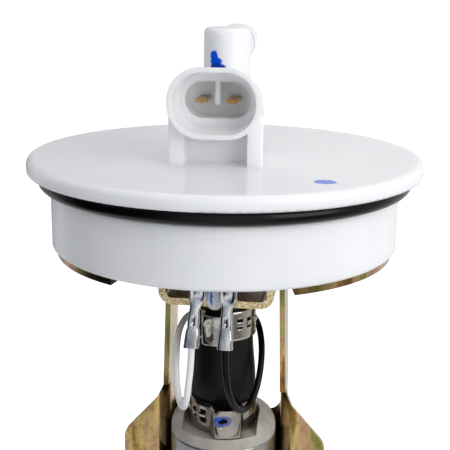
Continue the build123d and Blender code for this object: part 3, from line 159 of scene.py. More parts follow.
# Length in metres, then the route in millimetres, from the terminal to 3 mm above the plug.
LEADS = {
    "lead_white": (0.0785, [
        (-6, -20, -45.8), (-6.2, -20.1, -52), (-6.9, -20, -58.2), (-7.7, -18.3, -63.6),
        (-9, -14.8, -67.9), (-10.9, -10.3, -68.9), (-12.5, -6.6, -65.6), (-13.4, -3.6, -60),
        (-13.9, 0.6, -54.4), (-13.9, 5.2, -51), (-12.6, 9.4, -48.8), (-9.8, 12.6, -48),
        (-6.8, 14.8, -49.6), (-4.8, 15.8, -53.4), (-4, 16, -57.6), (-3.8, 16, -62)]),
    "lead_black": (0.0754, [
        (3.3, -20, -45.8), (3.35, -20.1, -52), (3.9, -20, -58.2), (5.2, -18.2, -63.8),
        (6.9, -14.6, -67.6), (9, -10.4, -68.4), (10.7, -6.6, -65.2), (11.6, -3, -60.2),
        (11.6, 1.2, -55), (10.8, 5.2, -51.8), (9.5, 9, -49.4), (7.9, 12.3, -48.6),
        (6, 14.8, -50.2), (4.6, 15.8, -53.6), (3.9, 16, -57.6), (3.8, 16, -62)]),
}


def make_lead(node_name, material):
    length, route = LEADS[node_name]
    data = bpy.data.curves.new(node_name + "_wire", "CURVE")
    data.dimensions = "3D"
    spline = data.splines.new("NURBS")
    spline.points.add(len(route) - 1)
    for point, place in zip(spline.points, route):
        point.co = (*(Vector(place) * MM), 1)
    spline.order_u = 3
    spline.use_endpoint_u = True
    spline.resolution_u = 12
    data.bevel_depth = LEAD_D / 2
    data.bevel_resolution = 6
    data.use_fill_caps = True
    wire = bpy.data.objects.new(data.name, data)
    scene.collection.objects.link(wire)
    data.materials.append(material)
    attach(wire, "root")
    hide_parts(node_name)


def insulation(name, code, rough, sheen):
    """Extruded PVC insulation: even colour and a soft satin skin with faint draw marks."""
    made, tree, shader, place = start(name, Base_Color=code, Roughness=rough, IOR=1.5,
                                      Specular_IOR_Level=sheen)
    marks = add(tree, "ShaderNodeTexNoise", {"Vector": place, "Scale": 900, "Detail": 2})
    skin = add(tree, "ShaderNodeBump", {"Strength": 0.12, "Distance": 0.00004,
                                        "Height": marks.outputs[0]})
    plug(tree, skin.outputs[0], shader, "Normal")
    return made


make_lead("lead_white",
          insulation("extruded white PVC", "#F7F7F8", 0.34, 0.3))
make_lead("lead_black",
          insulation("extruded black PVC", "#050506", 0.24, 0.16))

# ---- moulded plastics and rubber ---------------------------------------------------------------

PAINT_BLUE = "#0B5BE0"
# Middle and half sizes in millimetres, raggedness in metres and colour of each dab: marker
# paint on the boss and the flange, a pale blue-grey patch on the elbow, and a painted blue
# reflection on the post.
ACETAL_DABS = (
    ((-2.9, -4.3, 31.2), (1.1, 2.4, 1.5), 0.0009, PAINT_BLUE),
    ((-2.3, -4.3, 29.6), (1.7, 2.6, 1.3), 0.0009, PAINT_BLUE),
    ((-1.8, -4.3, 28.3), (2.2, 2.6, 1.0), 0.0009, "#0A3FB0"),
    ((29.2, -34.0, 4.0), (2.9, 2.4, 0.8), 0.0012, "#2E66E6"),
    ((4.6, 22.0, 33.5), (2.6, 4.0, 4.6), 0.004, "#B9C2DA"),
    # The post's blue below is a painted reflection, the blue sheen it takes from the room.
    ((-0.9, -18.5, -32.0), (0.4, 1.6, 3.6), 0.0010, "#3E86D8"))


def paint_mask(tree, place, middle, radii, ragged, soft=0.12):
    """1 inside an ellipsoid of a dab, 0 outside it, with a ragged edge. The dabs are marker
    paint, painted shade and painted reflections.
    """
    wobble = add(tree, "ShaderNodeTexNoise", {"Vector": place, "Scale": 700, "Detail": 3})
    centred = add(tree, "ShaderNodeVectorMath",
                  {0: wobble.outputs["Color"], 1: (0.5, 0.5, 0.5)}, operation="SUBTRACT")
    spread = add(tree, "ShaderNodeVectorMath",
                 {0: centred.outputs[0], 1: (ragged, ragged, ragged)}, operation="MULTIPLY")
    moved = add(tree, "ShaderNodeVectorMath", {0: place, 1: spread.outputs[0]}, operation="ADD")
    local = add(tree, "ShaderNodeVectorMath",
                {0: moved.outputs[0], 1: tuple(c * MM for c in middle)}, operation="SUBTRACT")
    scaled = add(tree, "ShaderNodeVectorMath",
                 {0: local.outputs[0], 1: tuple(r * MM for r in radii)}, operation="DIVIDE")
    reach = add(tree, "ShaderNodeVectorMath", {0: scaled.outputs[0]}, operation="LENGTH")
    return add(tree, "ShaderNodeMapRange",
               {"Value": reach.outputs["Value"], "From Min": 1 - soft, "From Max": 1 + soft,
                "To Min": 1, "To Max": 0}).outputs[0]


def moulded_acetal():
    """Natural acetal, injection moulded: milky white and glossy, and light goes well into it.
    Blue touches of an inspection marker on the boss and the flange, a pale blue-grey patch on
    the elbow, and a painted blue reflection on the post."""
    made, tree, shader, place = start(
        "moulded natural acetal", IOR=1.48, Subsurface_Weight=0.75,
        Subsurface_Radius=(1.0, 0.96, 0.92), Subsurface_Scale=0.0035)
    cloud = add(tree, "ShaderNodeTexNoise", {"Vector": place, "Scale": 45, "Detail": 3})
    milk = add(tree, "ShaderNodeValToRGB", {0: cloud.outputs[0]},
               stops=[(0.35, "#F0F1F3"), (0.65, "#F5F5F6")])
    base = milk.outputs[0]
    for middle, radii, ragged, code in ACETAL_DABS:
        mask = paint_mask(tree, place, middle, radii, ragged)
        base = add(tree, "ShaderNodeMix", {MIX_FACTOR: mask, MIX_A: base, MIX_B: code},
                   data_type="RGBA").outputs[MIX_OUT]
    plug(tree, base, shader, "Base Color")
    patches = add(tree, "ShaderNodeTexNoise", {"Vector": place, "Scale": 120, "Detail": 4})
    gloss = add(tree, "ShaderNodeMapRange", {"Value": patches.outputs[0], "To Min": 0.08,
                                             "To Max": 0.16})
    plug(tree, gloss.outputs[0], shader, "Roughness")
    sink = add(tree, "ShaderNodeTexNoise", {"Vector": place, "Scale": 60, "Detail": 1})
    skin = add(tree, "ShaderNodeBump", {"Strength": 0.05, "Distance": 0.0002,
                                        "Height": sink.outputs[0]})
    plug(tree, skin.outputs[0], shader, "Normal")
    return made


def rubber(name, code, low_rough, high_rough, grain, depth):
    """Moulded black rubber: near black, with a fine skin that breaks up the sheen."""
    made, tree, shader, place = start(name, Base_Color=code, IOR=1.5, Specular_IOR_Level=0.2)
    skin = add(tree, "ShaderNodeTexNoise", {"Vector": place, "Scale": grain, "Detail": 4})
    rough = add(tree, "ShaderNodeMapRange", {"Value": skin.outputs[0], "To Min": low_rough,
                                             "To Max": high_rough})
    plug(tree, rough.outputs[0], shader, "Roughness")
    bump = add(tree, "ShaderNodeBump", {"Strength": 0.3, "Distance": depth,
                                        "Height": skin.outputs[0]})
    plug(tree, bump.outputs[0], shader, "Normal")
    return made


def resin(name, light, dark, rough, grain=260):
    """Glass-filled moulding resin: dull, with pale flow streaks of the filler."""
    made, tree, shader, place = start(name, Roughness=rough, IOR=1.55)
    streak = add(tree, "ShaderNodeMapping", {"Vector": place, "Scale": (1, 1, 0.35)})
    flow = add(tree, "ShaderNodeTexNoise", {"Vector": streak.outputs[0], "Scale": grain,
                                            "Detail": 5})
    shade = add(tree, "ShaderNodeValToRGB", {0: flow.outputs[0]},
                stops=[(0.3, dark), (0.7, light)])
    plug(tree, shade.outputs[0], shader, "Base Color")
    skin = add(tree, "ShaderNodeBump", {"Strength": 0.2, "Distance": 0.00008,
                                        "Height": flow.outputs[0]})
    plug(tree, skin.outputs[0], shader, "Normal")
    return made


def woven_mesh():
    """Woven nylon filter cloth: threads both ways, drawn coarser than the real weave so that
    they show, over darker openings."""
    made, tree, shader, place = start("woven nylon mesh", IOR=1.5, Roughness=0.45)
    threads = [add(tree, "ShaderNodeTexWave", {"Vector": place, "Scale": 520.0,
                                               "Distortion": 0.4, "Detail": 1.0},
                   bands_direction=way) for way in ("X", "Y")]
    height = add(tree, "ShaderNodeMath", {0: threads[0].outputs["Fac"],
                                          1: threads[1].outputs["Fac"]}, operation="MAXIMUM")
    shade = add(tree, "ShaderNodeValToRGB", {0: height.outputs[0]},
                stops=[(0.25, "#8F8B7E"), (0.75, "#DEDACD")])
    plug(tree, shade.outputs[0], shader, "Base Color")
    cloth = add(tree, "ShaderNodeBump", {"Strength": 0.6, "Distance": 0.0001,
                                         "Height": height.outputs[0]})
    plug(tree, cloth.outputs[0], shader, "Normal")
    return made


# ---- metals ------------------------------------------------------------------------------------


def yellow_chromate(cut_edges=False):
    """Pressed steel, zinc plated and yellow passivated: the thin film drifts from brown and
    straw gold to green and rose. Sheared edges, where asked, keep a fine bright grain."""
    made, tree, shader, place = start("yellow passivated zinc on pressed steel", Metallic=1.0)
    run = add(tree, "ShaderNodeMapping", {"Vector": place, "Scale": (1.6, 1.0, 0.45)})
    drift = add(tree, "ShaderNodeTexNoise", {"Vector": run.outputs[0], "Scale": 75,
                                             "Detail": 4, "Distortion": 0.8})
    film = add(tree, "ShaderNodeValToRGB", {0: drift.outputs[0]},
               stops=[(0.30, "#5E3F2A"), (0.40, "#9F7D45"), (0.46, "#C9B072"),
                      (0.51, "#B58A76"), (0.56, "#B2A564"), (0.63, "#888447"),
                      (0.72, "#93685C")])
    blotch = add(tree, "ShaderNodeTexNoise", {"Vector": place, "Scale": 700, "Detail": 5})
    stain = add(tree, "ShaderNodeMapRange", {"Value": blotch.outputs[0], "From Min": 0.5,
                                             "From Max": 0.75, "To Max": 0.45})
    tone = add(tree, "ShaderNodeMix", {MIX_FACTOR: stain.outputs[0], MIX_A: film.outputs[0],
                                       MIX_B: "#5C4830"}, data_type="RGBA").outputs[MIX_OUT]
    grit = add(tree, "ShaderNodeTexNoise", {"Vector": place, "Scale": 2600, "Detail": 3})
    rough, strength = 0.22, 0.06
    if cut_edges:
        edge_tone = add(tree, "ShaderNodeValToRGB", {0: grit.outputs[0]},
                        stops=[(0.34, "#B48F58"), (0.5, "#E6CF9F"), (0.64, "#FCF1D2")])
        facing = add(tree, "ShaderNodeSeparateXYZ",
                     {0: add(tree, "ShaderNodeNewGeometry").outputs["Normal"]}).outputs[1]
        square = add(tree, "ShaderNodeMath", {0: facing}, operation="ABSOLUTE").outputs[0]
        cut = add(tree, "ShaderNodeMapRange", {"Value": square, "From Min": 0.9,
                                               "From Max": 0.97}).outputs[0]
        tone = add(tree, "ShaderNodeMix", {MIX_FACTOR: cut, MIX_A: tone,
                                           MIX_B: edge_tone.outputs[0]},
                   data_type="RGBA").outputs[MIX_OUT]
        rough = add(tree, "ShaderNodeMapRange", {"Value": cut, "To Min": rough,
                                                 "To Max": 0.38}).outputs[0]
        strength = add(tree, "ShaderNodeMapRange", {"Value": cut, "To Min": strength,
                                                    "To Max": 0.4}).outputs[0]
        plug(tree, rough, shader, "Roughness")
    else:
        shader.inputs["Roughness"].default_value = rough
    plug(tree, tone, shader, "Base Color")
    bump = add(tree, "ShaderNodeBump", {"Strength": strength, "Distance": 0.00006,
                                        "Height": grit.outputs[0]})
    plug(tree, bump.outputs[0], shader, "Normal")
    return made


def metal(name, light, dark, rough, grain=500, stretch=(1, 1, 1), depth=0.00003,
          strength=0.25, marks=()):
    """Bare or plated metal: a bright colour that drifts a little, under fine grain. marks are
    rings and dabs on it, marker paint as well as painted shade and painted reflections: middle
    and half sizes in millimetres, then the half sizes of what a ring leaves bare, or None, and
    its colour."""
    made, tree, shader, place = start(name, Metallic=1.0)
    run = add(tree, "ShaderNodeMapping", {"Vector": place, "Scale": stretch})
    lines = add(tree, "ShaderNodeTexNoise", {"Vector": run.outputs[0], "Scale": grain,
                                             "Detail": 4})
    tone = add(tree, "ShaderNodeValToRGB", {0: lines.outputs[0]},
               stops=[(0.3, dark), (0.7, light)])
    gloss = add(tree, "ShaderNodeMapRange", {"Value": lines.outputs[0],
                                             "To Min": rough * 0.8, "To Max": rough * 1.3})
    base = tone.outputs[0]
    for middle, outer, inner, code in marks:
        mark = paint_mask(tree, place, middle, outer, ragged=0.0009, soft=0.2)
        if inner:
            hole = paint_mask(tree, place, middle, inner, ragged=0.0012, soft=0.3)
            mark = add(tree, "ShaderNodeMath", {0: mark, 1: hole}, operation="SUBTRACT",
                       use_clamp=True).outputs[0]
        base = add(tree, "ShaderNodeMix", {MIX_FACTOR: mark, MIX_A: base, MIX_B: code},
                   data_type="RGBA").outputs[MIX_OUT]
    if marks:
        # Only the last mark hides the metal. Those before it tint it, and it still shines.
        bare = add(tree, "ShaderNodeMath", {0: 1.0, 1: mark}, operation="SUBTRACT")
        plug(tree, bare.outputs[0], shader, "Metallic")
    plug(tree, base, shader, "Base Color")
    plug(tree, gloss.outputs[0], shader, "Roughness")
    bump = add(tree, "ShaderNodeBump", {"Strength": strength, "Distance": depth,
                                        "Height": lines.outputs[0]})
    plug(tree, bump.outputs[0], shader, "Normal")
    return made


# ---- every node's material, by what it is made of ----------------------------------------------

paint(moulded_acetal(), "flange")
paint(rubber("moulded nitrile ring", "#060607", 0.20, 0.32, 300, 0.00002), "tank_seal",
      "regulator_seal")
paint(rubber("moulded nitrile hose", "#070708", 0.40, 0.52, 1400, 0.00004), "outlet_hose")
paint(rubber("moulded nitrile sleeve", "#1B1B1D", 0.55, 0.7, 900, 0.00006), "pump_sleeve",
      "pump_pad", "regulator_diaphragm")
paint(yellow_chromate(cut_edges=True), "mounting_plate")
paint(yellow_chromate(), "pump_hanger", "retaining_strap")
# Stainless strip: cool, with fine lines round the band of the upper clamp. The lower clamp's
# is more polished, and its colour is darkened as painted shade, for the dark hose and wire it
# mirrors. The inspection marker's blue rings the dimple in its ear; the navy dab in the dimple
# is painted shade.
BRUSHED = metal("brushed stainless strip", "#CBC8C3", "#A6A29B", 0.14, 900, (0.3, 0.3, 6),
                0.00001, 0.1)
POLISHED_IN_PAINTED_SHADE = metal("polished stainless strip in painted shade", "#A8A49D", "#8A857D", 0.12, 200,
                 (1, 1, 1), 0.00001, 0.05, [
                     # The first dab is painted shade in the dimple; the blue dab and the ring are
                     # marker paint.
                     ((1.7, -11.6, -72.9), (1.5, 3.0, 1.1), None, "#0C1226"),
                     ((0.3, -11.6, -72.2), (1.0, 3.0, 0.6), None, "#2A62D8"),
                     ((1.7, -11.6, -72.9), (2.5, 3.0, 1.8), (1.6, 4.0, 1.1), "#1437A0")])
paint(BRUSHED, "hose_clamp_upper")
paint(POLISHED_IN_PAINTED_SHADE, "hose_clamp_lower")
# Bright zinc on headed steel: cold silver with a faint blue.
paint(metal("bright zinc on cold headed steel", "#D3D8DD", "#A9AFB6", 0.26), "plate_screws",
      "strap_screws", "strap_nuts", "regulator_cover", "regulator_body")
# Zinc nickel on drawn steel: duller than bright zinc, with draw lines along the case.
paint(metal("zinc nickel on drawn steel", "#B9BBBB", "#8E9091", 0.34, 500, (4, 4, 0.4)),
      "pump_can")
# Tin over stamped brass: bright, a little mottled where the tin has flowed.
# A painted blue reflection runs down the left terminal's edge.
TINNED = metal("flowed tin on stamped brass", "#E9E9EA", "#94969B", 0.09, 330, (1, 1, 0.5),
               0.0002, 0.6, [((-1.7, -21.6, -27.6), (0.4, 1.0, 3.4), None, "#4E92DC")])
paint(TINNED, "lead_terminals", "pump_blades")
paint(metal("stamped brass", "#E0B26A", "#B07F3E", 0.28, 800), "contact_pins")
paint(metal("spring steel wire", "#B5B7BA", "#85878B", 0.3, 900), "brush_spring_left",
      "brush_spring_right", "check_spring", "regulator_spring", "regulator_clip")
paint(metal("ground steel shaft", "#C9CBCD", "#A5A7AA", 0.2, 700, (1, 1, 9)), "rotor_shaft",
      "regulator_tube")
paint(metal("turned copper", "#D99873", "#A9694A", 0.3, 700, (1, 1, 8)), "commutator")
paint(metal("enamelled copper wire", "#B5623A", "#7A3517", 0.32, 900, (1, 1, 1), 0.0002,
            0.8), "armature_windings")
paint(metal("varnished steel laminations", "#7C7D80", "#4B4C50", 0.45, 1600, (0.1, 0.1, 3),
            0.0001, 0.6), "armature_core")
paint(metal("sintered bronze", "#B98E5B", "#8A6439", 0.5, 1800, (1, 1, 1), 0.0001, 0.6),
      "bush_upper", "bush_lower")
paint(resin("warm grey glass filled resin", "#B9B4AB", "#A39D93", 0.42), "pump_end_cap")
paint(resin("black glass filled phenolic", "#2B2A29", "#191918", 0.5), "chamber_plate",
      "inlet_cover", "impeller")
paint(resin("pressed carbon", "#2C2C2D", "#161617", 0.6, 900), "brush_left", "brush_right")
paint(resin("fired ferrite", "#3A3A3D", "#262629", 0.55, 700), "field_magnets")
paint(resin("natural moulded nylon", "#E4E0D4", "#D9D4C6", 0.35), "pump_plug",
      "strainer_collar", "check_stop")
paint(resin("blue grey valve resin", "#8FA0AC", "#76858F", 0.4), "check_poppet",
      "regulator_valve")

NYLON_MESH = woven_mesh()
paint(NYLON_MESH, "strainer_sock")

# ---- modelled pieces: the tools ----------------------------------------------------------------


def begin(name, adder, **where):
    """Adds a primitive with nothing else selected and opens it for editing."""
    bpy.ops.object.select_all(action="DESELECT")
    adder(**where)
    piece = bpy.context.object
    piece.name = piece.data.name = name
    bpy.ops.object.transform_apply(location=True, rotation=True, scale=True)
    bpy.ops.object.mode_set(mode="EDIT")
    return piece


def pick(piece, test, kind="faces"):
    """Selects the open piece's faces, or its vertices, that pass the test."""
    bpy.context.tool_settings.mesh_select_mode = (kind == "verts", False, kind == "faces")
    mesh = bmesh.from_edit_mesh(piece.data)
    for item in [*mesh.verts, *mesh.edges, *mesh.faces]:
        item.select = False
    for item in getattr(mesh, kind):
        if test(item):
            item.select_set(True)
    mesh.select_flush_mode()
    bmesh.update_edit_mesh(piece.data)


def middle_of(item):
    """The middle of a face, in millimetres."""
    corners = [v.co for v in item.verts]
    return sum(corners, Vector()) / len(corners) / MM


def shut(piece, material, slot_name, *stands_for, smooth=35):
    """Puts the finished piece's place in its mesh and hands it over."""
    bpy.ops.object.transform_apply(location=True, rotation=True, scale=True)
    bpy.ops.object.shade_smooth_by_angle(angle=math.radians(smooth))
    piece.data.materials.clear()
    piece.data.materials.append(material)
    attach(piece, "root")
    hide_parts(*stands_for)


def modify(piece, kind, **values):
    """Adds a modifier and applies it."""
    made = piece.modifiers.new(kind.lower(), kind)
    for name, value in values.items():
        setattr(made, name, value)
    bpy.ops.object.modifier_apply(modifier=made.name)


def push(way, spread):
    """Moves the selected corners by way, and their neighbours less the further off they are,
    out to spread. Both are in millimetres."""
    bpy.ops.transform.translate(value=[c * MM for c in way], use_proportional_edit=True,
                                use_proportional_connected=True,
                                proportional_edit_falloff="SMOOTH",
                                proportional_size=spread * MM)


# ---- push-on terminals: stamped strip rolled round the blade, then round the wire --------------

STRIP_T = 0.4
# Height, width, depth and the share of the lean at each turn of the outline, top to bottom.
TERMINAL_RUN = (
    (-25.4, 5.0, 2.9, 0.00), (-25.8, 5.1, 3.0, 0.00), (-31.4, 5.1, 3.0, 0.00),
    (-32.4, 4.9, 2.8, 0.08), (-33.6, 3.9, 2.2, 0.25), (-34.6, 3.1, 1.8, 0.42),
    (-36.0, 2.9, 1.9, 0.55), (-37.2, 3.2, 2.5, 0.62), (-40.2, 3.3, 2.6, 0.76),
    (-41.0, 3.1, 2.3, 0.80), (-41.8, 3.7, 3.0, 0.86), (-45.9, 4.3, 3.3, 1.00),
    (-46.6, 4.5, 3.5, 1.00))
TERMINAL_Y = -20.0
FRONT_Y = TERMINAL_Y - 1.0          # what lies before this belongs to the front
BOX_CORNER = 0.9
BOX_FRONT = (-33.7, -25.4)          # from and to where the front stands back
BOX_FLAT = (-31.4, -25.8)
EDGE_W, EDGE_H = 0.7, 0.3           # the rolled edges on each side of it
DIMPLE_Z, DIMPLE_HALF = -28.9, 0.45
TURN_Z = -29.0                      # the box turns about an upright axis through this
DIMPLE_DEPTH, DIMPLE_SPREAD = 0.4, 0.8
CROWN_SPAN = (-31.3, -25.9)
CROWN_REACHES = (1.75, 1.45, 1.05, 0.7, 0.4)
CROWN_STEP = 0.05
CRIMP = (-40.2, -37.2)
VALLEY_SPAN = (-40.1, -37.3)
VALLEY_HALF, VALLEY_DEPTH = 0.3, 0.5
CRIMP_LEAN = 0.7                    # the crimp's share of the lean


def push_on_terminal(name, x, lean, turn):
    """x is the blade's place. The lower end stands lean to the side, the box is turned."""
    high, wide, deep, _ = TERMINAL_RUN[0]
    piece = begin(name, bpy.ops.mesh.primitive_plane_add, size=1,
                  location=(x * MM, TERMINAL_Y * MM, high * MM))
    bpy.ops.transform.resize(value=(wide * MM, deep * MM, 1))
    bpy.ops.mesh.bevel(offset=BOX_CORNER * MM, segments=4, affect="VERTICES")
    bpy.ops.mesh.delete(type="ONLY_FACE")
    bpy.ops.mesh.select_all(action="SELECT")
    at_x = x
    for last, here in zip(TERMINAL_RUN, TERMINAL_RUN[1:]):
        step_x = (here[3] - last[3]) * lean
        at_x += step_x
        bpy.ops.mesh.extrude_region_move(TRANSFORM_OT_translate={
            "value": (step_x * MM, 0, (here[0] - last[0]) * MM)})
        bpy.ops.transform.resize(value=(here[1] / last[1], here[2] / last[2], 1),
                                 center_override=(at_x * MM, TERMINAL_Y * MM, here[0] * MM))
    bpy.ops.mesh.select_all(action="SELECT")
    bpy.ops.mesh.normals_make_consistent(inside=False)

    def front_face(low, high):
        return lambda face: face.normal.y < -0.9 and low < middle_of(face).z < high

    def front_verts(middle_x, half, low, high):
        """Corners of the front within half of a vertical line."""
        return lambda vert: (abs(vert.co.x / MM - middle_x) < half and vert.co.y < FRONT_Y * MM
                             and low < vert.co.z / MM < high)

    # The front stands back between its two rolled edges, and carries the locking dimple.
    pick(piece, front_face(*BOX_FRONT))
    bpy.ops.mesh.inset(thickness=EDGE_W * MM, depth=-EDGE_H * MM)
    flat = front_face(*BOX_FLAT)
    pick(piece, lambda face: flat(face) and middle_of(face).y > FRONT_Y - EDGE_H)
    bpy.ops.mesh.subdivide(number_cuts=9)
    pick(piece, front_verts(x, DIMPLE_HALF, DIMPLE_Z - DIMPLE_HALF, DIMPLE_Z + DIMPLE_HALF),
         "verts")
    push((0, DIMPLE_DEPTH, 0), DIMPLE_SPREAD)
    # The front is crowned a little, and the box stands turned on its blade.
    for reach in CROWN_REACHES:
        pick(piece, front_verts(x, reach, *CROWN_SPAN), "verts")
        bpy.ops.transform.translate(value=(0, -CROWN_STEP * MM, 0))
    pick(piece, lambda vert: vert.co.z / MM > BOX_FRONT[0], "verts")
    bpy.ops.transform.rotate(value=math.radians(turn), orient_axis="Z",
                             center_override=(x * MM, TERMINAL_Y * MM, TURN_Z * MM))
    # The valley that the crimping tool leaves between the two rolled-in wings.
    pick(piece, front_face(*CRIMP))
    bpy.ops.mesh.subdivide(number_cuts=3)
    pick(piece, front_verts(x + CRIMP_LEAN * lean, VALLEY_HALF, *VALLEY_SPAN), "verts")
    bpy.ops.transform.translate(value=(0, VALLEY_DEPTH * MM, 0))
    bpy.ops.object.mode_set(mode="OBJECT")
    modify(piece, "SOLIDIFY", thickness=STRIP_T * MM, offset=-1)
    modify(piece, "BEVEL", width=0.1 * MM, segments=2, limit_method="ANGLE")
    shut(piece, TINNED, "tin_plate", "lead_terminals")


push_on_terminal("terminal_left", -4.1, -1.9, 0)
push_on_terminal("terminal_right", 4.1, -0.8, 5)

# ---- ear clamps: one strip round the hose, hooked into its windows, with a dimpled ear ---------

BAND_STEPS = 120
BAND_ROWS = (-4.3, -3.2, -2.1, -1.0, -0.05, 1.25, 2.2, 3.2, 4.3)
BAND_T = 0.8
# From and to, in degrees from the ear's middle, and how far that stretch moves out.
EAR_OUTLINE = ((-1, 25.5, 4.0), (16.5, 19.5, -0.07), (19.5, 22.5, -0.28), (22.5, 25.5, -0.95),
               (25.5, 28.5, 0.3))
HOOK_DEGS = (41, 64, 87)
HOOK_HALF_DEG = 6.1
HOOK_ROW = (-0.05, 1.25)
HOOK_RISE = 0.4
WINDOW_ROWS = ((-1.0, -0.05), (1.25, 2.2))
EAR_DIMPLE_R = 1.0
EAR_DIMPLE_DEPTH, EAR_DIMPLE_SPREAD = 1.1, 3.4
HOSE_Y = 2.0


def ear_clamp(name, node_name, material, seat_r, z, ear_deg, hook_side):
    """seat_r is the strip's inner radius. The ear points to ear_deg from +X, and the hooks
    follow it anticlockwise where hook_side is 1, clockwise where it is -1."""
    outer = seat_r + BAND_T
    ear_x = outer + 1       # what lies past this is the ear
    piece = begin(name, bpy.ops.mesh.primitive_circle_add, vertices=BAND_STEPS,
                  radius=outer * MM, location=(0, 0, BAND_ROWS[0] * MM))

    def on_stretch(low, high):
        return lambda vert: vert.co.x > 0 and low < math.degrees(
            math.asin(min(1, abs(vert.co.y) / (outer * MM)))) < high

    def on_hook(hook, *rows):
        def test(face):
            place = middle_of(face)
            turn = hook_side * math.degrees(math.atan2(place.y, place.x))
            return abs(turn - hook) < HOOK_HALF_DEG and any(
                low < place.z < high for low, high in rows)
        return test

    # The ear: this part of the ring stands out, with round shoulders and eased feet.
    for low, high, rise in EAR_OUTLINE:
        pick(piece, on_stretch(low, high), "verts")
        bpy.ops.transform.translate(value=(rise * MM, 0, 0))
    bpy.ops.mesh.select_all(action="SELECT")
    for low, high in zip(BAND_ROWS, BAND_ROWS[1:]):
        bpy.ops.mesh.extrude_region_move(TRANSFORM_OT_translate={
            "value": (0, 0, (high - low) * MM)})
    bpy.ops.mesh.select_all(action="SELECT")
    bpy.ops.mesh.normals_make_consistent(inside=False)
    for hook in HOOK_DEGS:
        pick(piece, on_hook(hook, *WINDOW_ROWS))
        bpy.ops.mesh.delete(type="FACE")
        pick(piece, on_hook(hook, HOOK_ROW))
        bpy.ops.mesh.extrude_region_shrink_fatten(TRANSFORM_OT_shrink_fatten={
            "value": HOOK_RISE * MM})
    # The dimple in the ear's face.
    pick(piece, lambda face: face.normal.x > 0.9 and middle_of(face).x > ear_x)
    bpy.ops.mesh.subdivide(number_cuts=1)
    pick(piece, lambda vert: vert.co.x > ear_x * MM
         and vert.co.yz.length < EAR_DIMPLE_R * MM, "verts")
    push((-EAR_DIMPLE_DEPTH, 0, 0), EAR_DIMPLE_SPREAD)
    bpy.ops.object.mode_set(mode="OBJECT")
    modify(piece, "SOLIDIFY", thickness=BAND_T * MM, offset=-1)
    modify(piece, "BEVEL", width=0.12 * MM, segments=2, limit_method="ANGLE",
           angle_limit=math.radians(50))
    piece.rotation_euler.z = math.radians(ear_deg)
    piece.location = (0, HOSE_Y * MM, z * MM)
    shut(piece, material, "stainless", node_name)


ear_clamp("clamp_strip_upper", "hose_clamp_upper", BRUSHED, 8.7, -45.4, -95, 1)
ear_clamp("clamp_strip_lower", "hose_clamp_lower", POLISHED_IN_PAINTED_SHADE, 9.4, -73.7, -76, -1)

# ---- strainer: two sheets of cloth, welded flat round their edge and swollen between -----------

BAG_STEPS = (48, 16)    # points round each end, and along each side
# How far each ring of points lies in from the edge.
BAG_RINGS = (0, 1.3, 2.6, 3.6, 4.8, 6.2, 7.6, 9.0, 10.6, 12.4, 14.4, 16.5)
BAG_WELD = 2.6
BAG_SKIN = 0.25         # half the weld's thickness
BAG_CROWN = 8.0         # from the weld to where the bag is at its full height
BAG_ROOM = 0.4          # left above and below for the cloth to swell into
BAG_FULLNESS = 0.85     # below 1 the crown rises more steeply from the weld
COLLAR_Y = 4.0
COLLAR_R = 9.4
COLLAR_EASE = 4.0       # the top sheet comes down from the collar over this length
COLLAR_FULLNESS = 0.7
SWELL_STEPS = 20
SWELL_CAP = 1.0         # no point moves further than this
CLOTH = {"vertex_group_mass": "held", "mass": 0.0004, "bending_stiffness": 0.002,
         "use_pressure": True, "uniform_pressure_force": 4, "shrink_min": -0.05}


def between(low, value, high):
    return min(max(value, low), high)


def bag_ring(half_w, straight, inwards):
    """Points round the bag's plan, this far in from its edge, in millimetres."""
    r = half_w - inwards
    turns, steps = BAG_STEPS
    points = []
    for end in (1, -1):
        for i in range(turns):
            a = math.pi * i / turns
            points.append((end * r * math.cos(a), end * (straight + r * math.sin(a))))
        points += [(-end * r, end * straight * (1 - 2 * i / steps)) for i in range(steps)]
    return points


def bag_rise(side, inwards, to_collar, full):
    """How far a sheet stands off the weld's plane. The top one lies flat under the collar."""
    share = between(0, (inwards - BAG_WELD) / BAG_CROWN, 1)
    crown = math.sin(share * math.pi / 2) ** BAG_FULLNESS
    rise = BAG_SKIN + (full - BAG_ROOM - BAG_SKIN) * crown
    if side < 0:
        return rise
    ease = between(0, (to_collar - COLLAR_R) / COLLAR_EASE, 1) ** COLLAR_FULLNESS
    return max(rise, full + (rise - full) * ease)


def bag_mesh(middle, half):
    """Both sheets in one closed mesh. Its group 0 holds what the weld and the collar keep."""
    shape = bmesh.new()
    group = shape.verts.layers.deform.verify()
    sheets = {1: [], -1: []}
    for side, rings in sheets.items():
        for inwards in BAG_RINGS:
            ring = []
            for x, y in bag_ring(half.x, half.y - half.x, inwards):
                to_collar = math.hypot(x, middle.y + y - COLLAR_Y)
                rise = bag_rise(side, inwards, to_collar, half.z)
                corner = shape.verts.new((x * MM, (middle.y + y) * MM,
                                          (middle.z + side * rise) * MM))
                if inwards <= BAG_WELD or (side > 0 and to_collar < COLLAR_R):
                    corner[group][0] = 1.0
                ring.append(corner)
            rings.append(ring)
    top, bottom = sheets[1], sheets[-1]
    for first, second in [*zip(top, top[1:]), *zip(bottom[1:], bottom), (bottom[0], top[0])]:
        for i, corner in enumerate(first):
            shape.faces.new((corner, first[i - 1], second[i - 1], second[i]))
    bmesh.ops.remove_doubles(shape, verts=shape.verts[:], dist=0.01 * MM)
    bmesh.ops.recalc_face_normals(shape, faces=shape.faces[:])
    mesh = bpy.data.meshes.new("strainer_bag")
    shape.to_mesh(mesh)
    shape.free()
    return mesh


